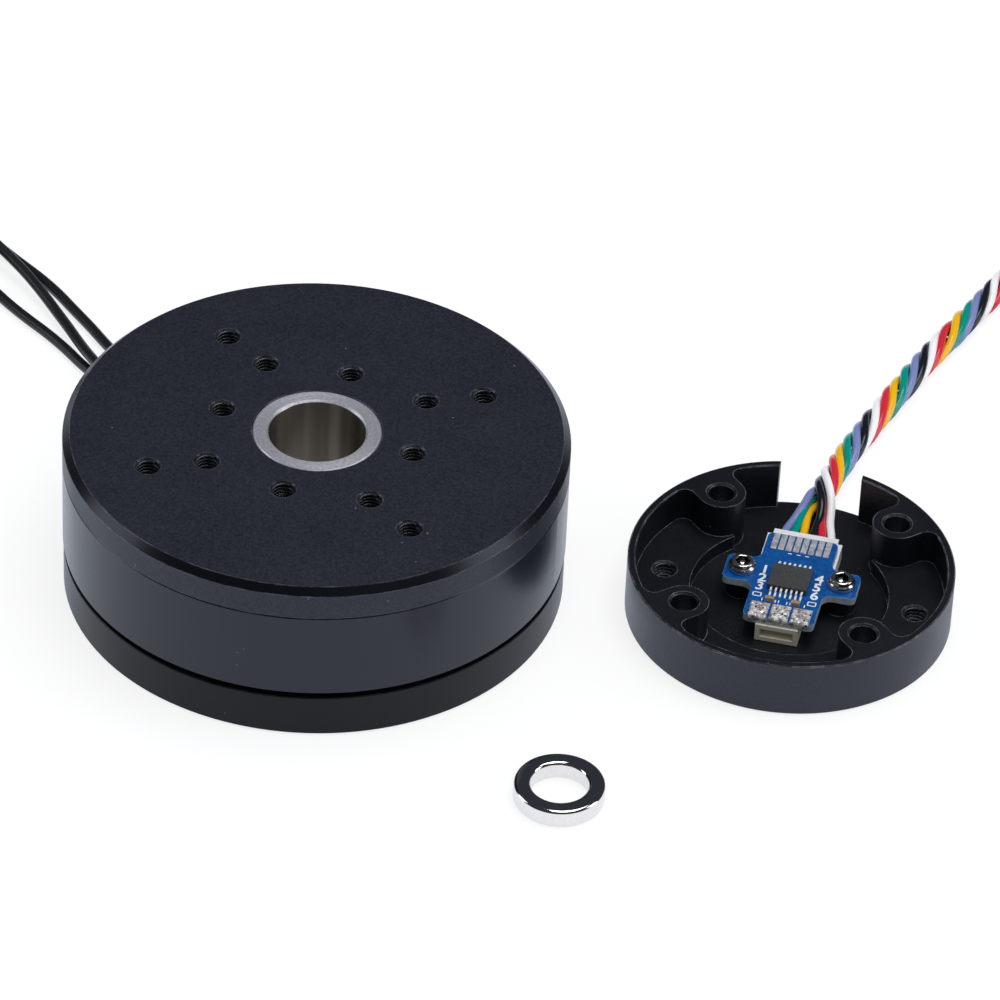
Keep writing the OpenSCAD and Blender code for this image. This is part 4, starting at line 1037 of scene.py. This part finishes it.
def thread_tree():
    tree = bpy.data.node_groups.new("thread_in_holes", "GeometryNodeTree")
    sizes = {label: "Float" for label in ("Hole radius", "Pitch", "Depth", "Ridge")}
    for label, kind in {"Holes": "Geometry", **sizes, "Finish": "Material"}.items():
        tree.interface.new_socket(label, in_out="INPUT", socket_type="NodeSocket" + kind)
    tree.interface.new_socket("Threads", in_out="OUTPUT", socket_type="NodeSocketGeometry")
    given = put(tree, "NodeGroupInput").outputs
    sunk = product(given["Ridge"], RIDGE_SUNK)
    radius = sums("SUBTRACT", given["Hole radius"], sunk)
    helix = put(tree, "GeometryNodeCurveSpiral", {
        "Resolution": TURN_STEPS, "Rotations": sums("DIVIDE", given["Depth"], given["Pitch"]),
        "Start Radius": radius, "End Radius": radius, "Height": given["Depth"],
    })
    ring = {"Resolution": 4, "Radius": given["Ridge"]}
    ridge = put(tree, "GeometryNodeCurvePrimitiveCircle", ring)
    feeds = {0: helix.outputs[0], 1: ridge.outputs[0], "Fill Caps": True}
    thread = put(tree, "GeometryNodeCurveToMesh", feeds)
    feeds = {"Points": given["Holes"], "Instance": thread.outputs[0]}
    copies = put(tree, "GeometryNodeInstanceOnPoints", feeds)
    real = put(tree, "GeometryNodeRealizeInstances", {0: copies.outputs[0]})
    feeds = {"Geometry": real.outputs[0], "Material": given["Finish"]}
    done = put(tree, "GeometryNodeSetMaterial", feeds)
    put(tree, "NodeGroupOutput", {0: done.outputs[0]})
    return tree


THREADS = thread_tree()


def evaluated_mesh(source):
    """What an object becomes with its modifiers, as a plain mesh; the object goes."""
    depsgraph = bpy.context.evaluated_depsgraph_get()
    data = bpy.data.meshes.new_from_object(source.evaluated_get(depsgraph))
    bpy.data.objects.remove(source)
    return data


def made_by(tree, name, points, values, body):
    """Runs a Geometry Nodes tree on a cloud of points and keeps the result."""
    cloud = bpy.data.meshes.new(name + "_points")
    cloud.from_pydata([tuple(v * MM for v in p) for p in points], [], [])
    maker = linked(name + "_maker", cloud)
    modifier = maker.modifiers.new("maker", "NODES")
    modifier.node_group = tree
    for item in tree.interface.items_tree:
        if item.in_out == "INPUT" and item.name in values:
            modifier[item.identifier] = values[item.name]
    data = evaluated_mesh(maker)
    data.name = name
    return kept(name, data, body)


# %% Where the tapped holes are
THREAD_D = 3.0
THREAD_PITCH = 0.5
THREAD_RIDGE = 0.2
MOUTH = 0.3
PLATE_Z0 = 19.7
MOTOR_H = 22.7
BASE_THREAD_H = 2.1
COVER_HOLE_R = 16.0
LEDGE_H = 3.0
CAP_CIRCLES = ((25, 0), (30, 45))
CAP_RECTANGLE = (34, 28.4)
BASE_CIRCLES = ((32, 45), (48, 0))


def circles(patterns, z):
    """Four holes on each circle, given by its diameter and its first hole's angle."""
    at = [(pcd / 2, radians(first + 90 * i)) for pcd, first in patterns for i in range(4)]
    return [(r * cos(a), r * sin(a), z) for r, a in at]


def cover_hole(degrees):
    x, y = np.array(COVER_AT) + turned(COVER_HOLE_R * heading(degrees), COVER_TURN)
    return x, y, MOUTH


half_w, half_d = (side / 2 for side in CAP_RECTANGLE)
cap_z = PLATE_Z0 + MOUTH
cap_holes = circles(CAP_CIRCLES, cap_z)
cap_holes += [(sx * half_w, sy * half_d, cap_z) for sx in (-1, 1) for sy in (-1, 1)]
cover_holes = [cover_hole(a) for a in (0, 180, 270)]
cap_depth = MOTOR_H - PLATE_Z0 - 2 * MOUTH
for name, holes, depth, body, slot in (
    ("cap_threads", cap_holes, cap_depth, "rotor", "black_anodised"),
    ("base_threads", circles(BASE_CIRCLES, MOUTH), BASE_THREAD_H, "stator", "black_anodised"),
    ("cover_threads", cover_holes, LEDGE_H - 2 * MOUTH, "stator", "cover_anodised"),
):
    values = {
        "Hole radius": THREAD_D / 2 * MM, "Pitch": THREAD_PITCH * MM, "Depth": depth * MM,
        "Ridge": THREAD_RIDGE * MM, "Finish": FINISHES["cut_thread"],
    }
    made_by(THREADS, name, holes, values, body)

# %% [markdown]
# ## White print on the circuit board
# A sensor board carries printed marks beside its chip. Here they are plain pin numbers
# and short bars, made from flat text that is turned into a mesh and laid on the mask.

# %% Printed numbers
BOARD_TOP = 4.5
PRINT_T = 0.02
FIGURE_SIZE = 1.62 * 1.35
FIGURE_BOLD = 0.05
FIGURE_STEP = 1.7
FRAME_LINE = 0.15


def white_print():
    tree, body = blank_finish("white_print", Roughness=0.55)
    place = centred(tree, COVER_AT)
    patch = use("mottling", place, Patches_per_metre=6000.0)["Mottle"]
    ink = blend(patch, tone(205, 212, 222), tone(250, 250, 252))
    feed(body.inputs["Base Color"], ink)


def on_board(x, y, z):
    px, py = np.array(COVER_AT) + turned((x, y), COVER_TURN)
    return Vector((px, py, z)) * MM


def on_mask(x, y):
    """Moves and turns a printed mark to its place on the board."""
    turn = Matrix.Rotation(radians(COVER_TURN), 4, "Z")
    return Matrix.Translation(on_board(x, y, BOARD_TOP + PRINT_T / 2)) @ turn


def figure(mesh, text, x, y):
    curve = bpy.data.curves.new("figure_" + text, "FONT")
    curve.body, curve.size = text, FIGURE_SIZE * MM
    curve.align_x, curve.align_y = "CENTER", "CENTER"
    curve.extrude, curve.offset, curve.resolution_u = PRINT_T * MM / 2, FIGURE_BOLD * MM, 3
    data = evaluated_mesh(linked("figure", curve))
    data.transform(on_mask(x, y))
    mesh.from_mesh(data)


def bar(mesh, x, y, w, d):
    made = bmesh.ops.create_cube(mesh, size=1)["verts"]
    scale = Matrix.Diagonal((w * MM, d * MM, PRINT_T * MM, 1))
    bmesh.ops.transform(mesh, matrix=on_mask(x, y) @ scale, verts=made)


def outline(mesh, x, y, w, d):
    for side in (-1, 1):
        bar(mesh, x + side * (w - FRAME_LINE) / 2, y, FRAME_LINE, d - FRAME_LINE)
        bar(mesh, x, y + side * (d - FRAME_LINE) / 2, w - FRAME_LINE, FRAME_LINE)


def board_print():
    mesh = bmesh.new()
    for texts, x, y in (("123", -3.5, 1.5), ("456", 3.5, 1.35)):
        for i, text in enumerate(texts):
            figure(mesh, text, x, y - FIGURE_STEP * i)
        outline(mesh, x, y - 5.0, 1.15, 0.85)
    for x in (-2.7, -1.0, -0.6, 0.45, 0.85, 2.7):
        bar(mesh, x, -4.35, 0.13, 0.55)
    for x in (-1.1, 0.0, 1.1):
        bar(mesh, x, 5.45, 0.5, 0.13)
    finished_piece("board_print", mesh, ["white_print"])


white_print()
board_print()

# %% [markdown]
# ## Screws with a hexagon socket
# Two small socket screws hold the board. What tells them apart from a plain disc is the
# rounded rim that catches the lamps, and the six-sided socket. Each is a profile turned
# round its axis, where the rings inside the socket follow a hexagon instead of a circle. A
# number on each vertex says whether it lies in the socket, and the finish paints shade
# there, so the socket looks dark.

# %% The two screws
SCREW_AT = [(-6.35, 1.1), (6.35, 1.1)]
SCREW_HEX_TURN = [12, 37]
SCREW_SIDES = 72
SOCKET_ACROSS = 1.55
SCREW_PROFILE = [
    (0.7, -3.4), (0.97, -3.15), (0.97, 0), (1.66, 0), (1.73, 0.05), (1.75, 0.14), (1.75, 0.52),
    (1.72, 0.62), (1.62, 0.72), (1.5, 0.8), (1.45, 0.9), (1.43, 1.06), (1.38, 1.18), (1.28, 1.24),
    (1.06, 1.27),
]
SOCKET_PROFILE = [(1.1, 1.25), (1.0, 1.16), (1.0, 0.62), (0.55, 0.5), (0.52, 0.49), (0.06, 0.26)]
# How much painted shade each socket ring gets; the cone at the floor gets none.
SOCKET_PAINTED_SHADE = [0, 1, 1, 1, 0, 0]
SHARP_FROM = 50


def lathe(mesh, profile, sides, centre, reach=None, closed=False):
    """Turns a profile of (radius, height) round an upright axis; reach may bend a ring."""
    rings = []
    for i, (r, z) in enumerate(profile):
        ring = []
        for j in range(sides):
            a = 2 * pi * j / sides
            q = reach(r, a, i) if reach else r
            ring.append(mesh.verts.new(Vector((q * cos(a), q * sin(a), z)) * MM + centre))
        rings.append(ring)
    pairs = list(zip(rings[:-1], rings[1:]))
    if closed:
        pairs.append((rings[-1], rings[0]))
    else:
        mesh.faces.new(rings[0])
        mesh.faces.new(rings[-1])
    for a, b in pairs:
        join_rings(mesh, a, b)
    return rings


def hexagon(r, a, turn):
    """The distance to a hexagon's side, for radii given as shares of its half width."""
    part = (a - turn) % (pi / 3) - pi / 6
    return r * SOCKET_ACROSS / 2 / cos(part)


def mark_sharp(piece):
    """Keeps edges sharper than the angle crisp under smooth shading."""
    mesh = bmesh.new()
    mesh.from_mesh(piece.data)
    limit = radians(SHARP_FROM)
    for edge in mesh.edges:
        edge.smooth = len(edge.link_faces) == 2 and edge.calc_face_angle() < limit
    mesh.to_mesh(piece.data)
    mesh.free()


def board_screws():
    mesh = bmesh.new()
    hollow = mesh.verts.layers.float.new("hollow")
    first = len(SCREW_PROFILE)
    for (x, y), turn in zip(SCREW_AT, SCREW_HEX_TURN):

        def reach(r, a, i, way=radians(turn)):
            return r if i < first else hexagon(r, a, way)

        centre = on_board(x, y, BOARD_TOP)
        made = lathe(mesh, SCREW_PROFILE + SOCKET_PROFILE, SCREW_SIDES, centre, reach)
        # The socket's rings carry their share of painted shade.
        for ring, painted_dark in zip(made[first:], SOCKET_PAINTED_SHADE):
            for vertex in ring:
                vertex[hollow] = painted_dark
    piece = finished_piece("socket_screws", mesh, ["polished_screw"])
    mark_sharp(piece)
    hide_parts("board_screws")


board_screws()

# %% [markdown]
# ## The ring magnet
# A sintered magnet is tumbled before it is plated with nickel, so its edges are round, and
# the plating shows them as smooth bright lines. It is one closed profile turned round.

# %% The ring magnet
RING_R = (3.5, 5.6)
RING_H = 2.5
RING_ROUND = 0.46
RING_SIDES = 128
ROUND_STEPS = 6


def ring_magnet():
    near, far = RING_R[0] + RING_ROUND, RING_R[1] - RING_ROUND
    low, high = RING_ROUND, RING_H - RING_ROUND
    profile = []
    for r, z, first in ((far, low, -90), (far, high, 0), (near, high, 90), (near, low, 180)):
        for i in range(ROUND_STEPS + 1):
            a = radians(first + 90 / ROUND_STEPS * i)
            profile.append((r + RING_ROUND * cos(a), z + RING_ROUND * sin(a)))
    mesh = bmesh.new()
    lathe(mesh, profile, RING_SIDES, Vector((*RING_AT, 0)) * MM, closed=True)
    piece = finished_piece("plated_ring", mesh, ["nickel_magnet"])
    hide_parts("ring_magnet")


ring_magnet()

# %% [markdown]
# ## Solder laid on by hand
# The three big pads on the board's front edge carry solder from an iron. It is a lumpy
# skin that climbs from the pad's rim and runs over the board's edge. Each pad is a small
# grid, raised by noise in the middle and pressed down at its rim.

# %% The three soldered pads
PAD_X = (-2.7, 0.0, 2.7)
PAD_W = 2.45
PAD_Y = (-7.97, -4.9)
PAD_CELLS = (26, 32)
PAD_RISE = 0.34
RISE_SHARE = (0.62, 0.5)
RIM_STEEPNESS = (6, 7)
BOARD_EDGE_DROP = 0.75
DROP_SHARE = (0.8, 0.5)
DEEPEST = 0.98
LUMPS = 2.6
PAD_APART = 3.1
SMALL_LUMPS = 6.5
SMALL_SHARE = 0.6
SKIN = (0, 0.06, -0.06)


def lump_at(x, y, k):
    broad = relief.noise(Vector((x, y, PAD_APART * k)) * LUMPS)
    return broad + SMALL_SHARE * relief.noise(Vector((x, y, k)) * SMALL_LUMPS)


def pad_point(k, i, j):
    """A point of pad k's grid; row -1 hangs over the board's edge."""
    u, v = 2 * i / PAD_CELLS[0] - 1, max(j, 0) / PAD_CELLS[1]
    x = PAD_X[k] + u * PAD_W / 2
    y = PAD_Y[0] + v * (PAD_Y[1] - PAD_Y[0])
    lump = lump_at(x, y, k)
    rim = min(1, RIM_STEEPNESS[0] * (1 - abs(u)), RIM_STEEPNESS[1] * (1 - v))
    z = BOARD_TOP + rim**0.5 * PAD_RISE * (RISE_SHARE[0] + RISE_SHARE[1] * lump)
    if j < 0:
        z = BOARD_TOP - BOARD_EDGE_DROP * (DROP_SHARE[0] + DROP_SHARE[1] * lump)
    return on_board(x, y, max(z, BOARD_TOP - DEEPEST))


def hand_solder():
    mesh = bmesh.new()
    nx, ny = PAD_CELLS
    for k in range(len(PAD_X)):
        rows = [
            [mesh.verts.new(pad_point(k, i, j)) for i in range(nx + 1)] for j in range(-1, ny + 1)
        ]
        for a, b in zip(rows[:-1], rows[1:]):
            for i in range(nx):
                mesh.faces.new((a[i], a[i + 1], b[i + 1], b[i])).smooth = True
    skirt = bmesh.ops.extrude_face_region(mesh, geom=mesh.faces[:])["geom"]
    under = [v for v in skirt if isinstance(v, bmesh.types.BMVert)]
    skin = Matrix.Rotation(radians(COVER_TURN), 3, "Z") @ Vector(SKIN) * MM
    bmesh.ops.translate(mesh, vec=skin, verts=under)
    piece = finished_piece("soldered_pads", mesh, ["hand_solder"])
    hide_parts("solder_pads")


hand_solder()
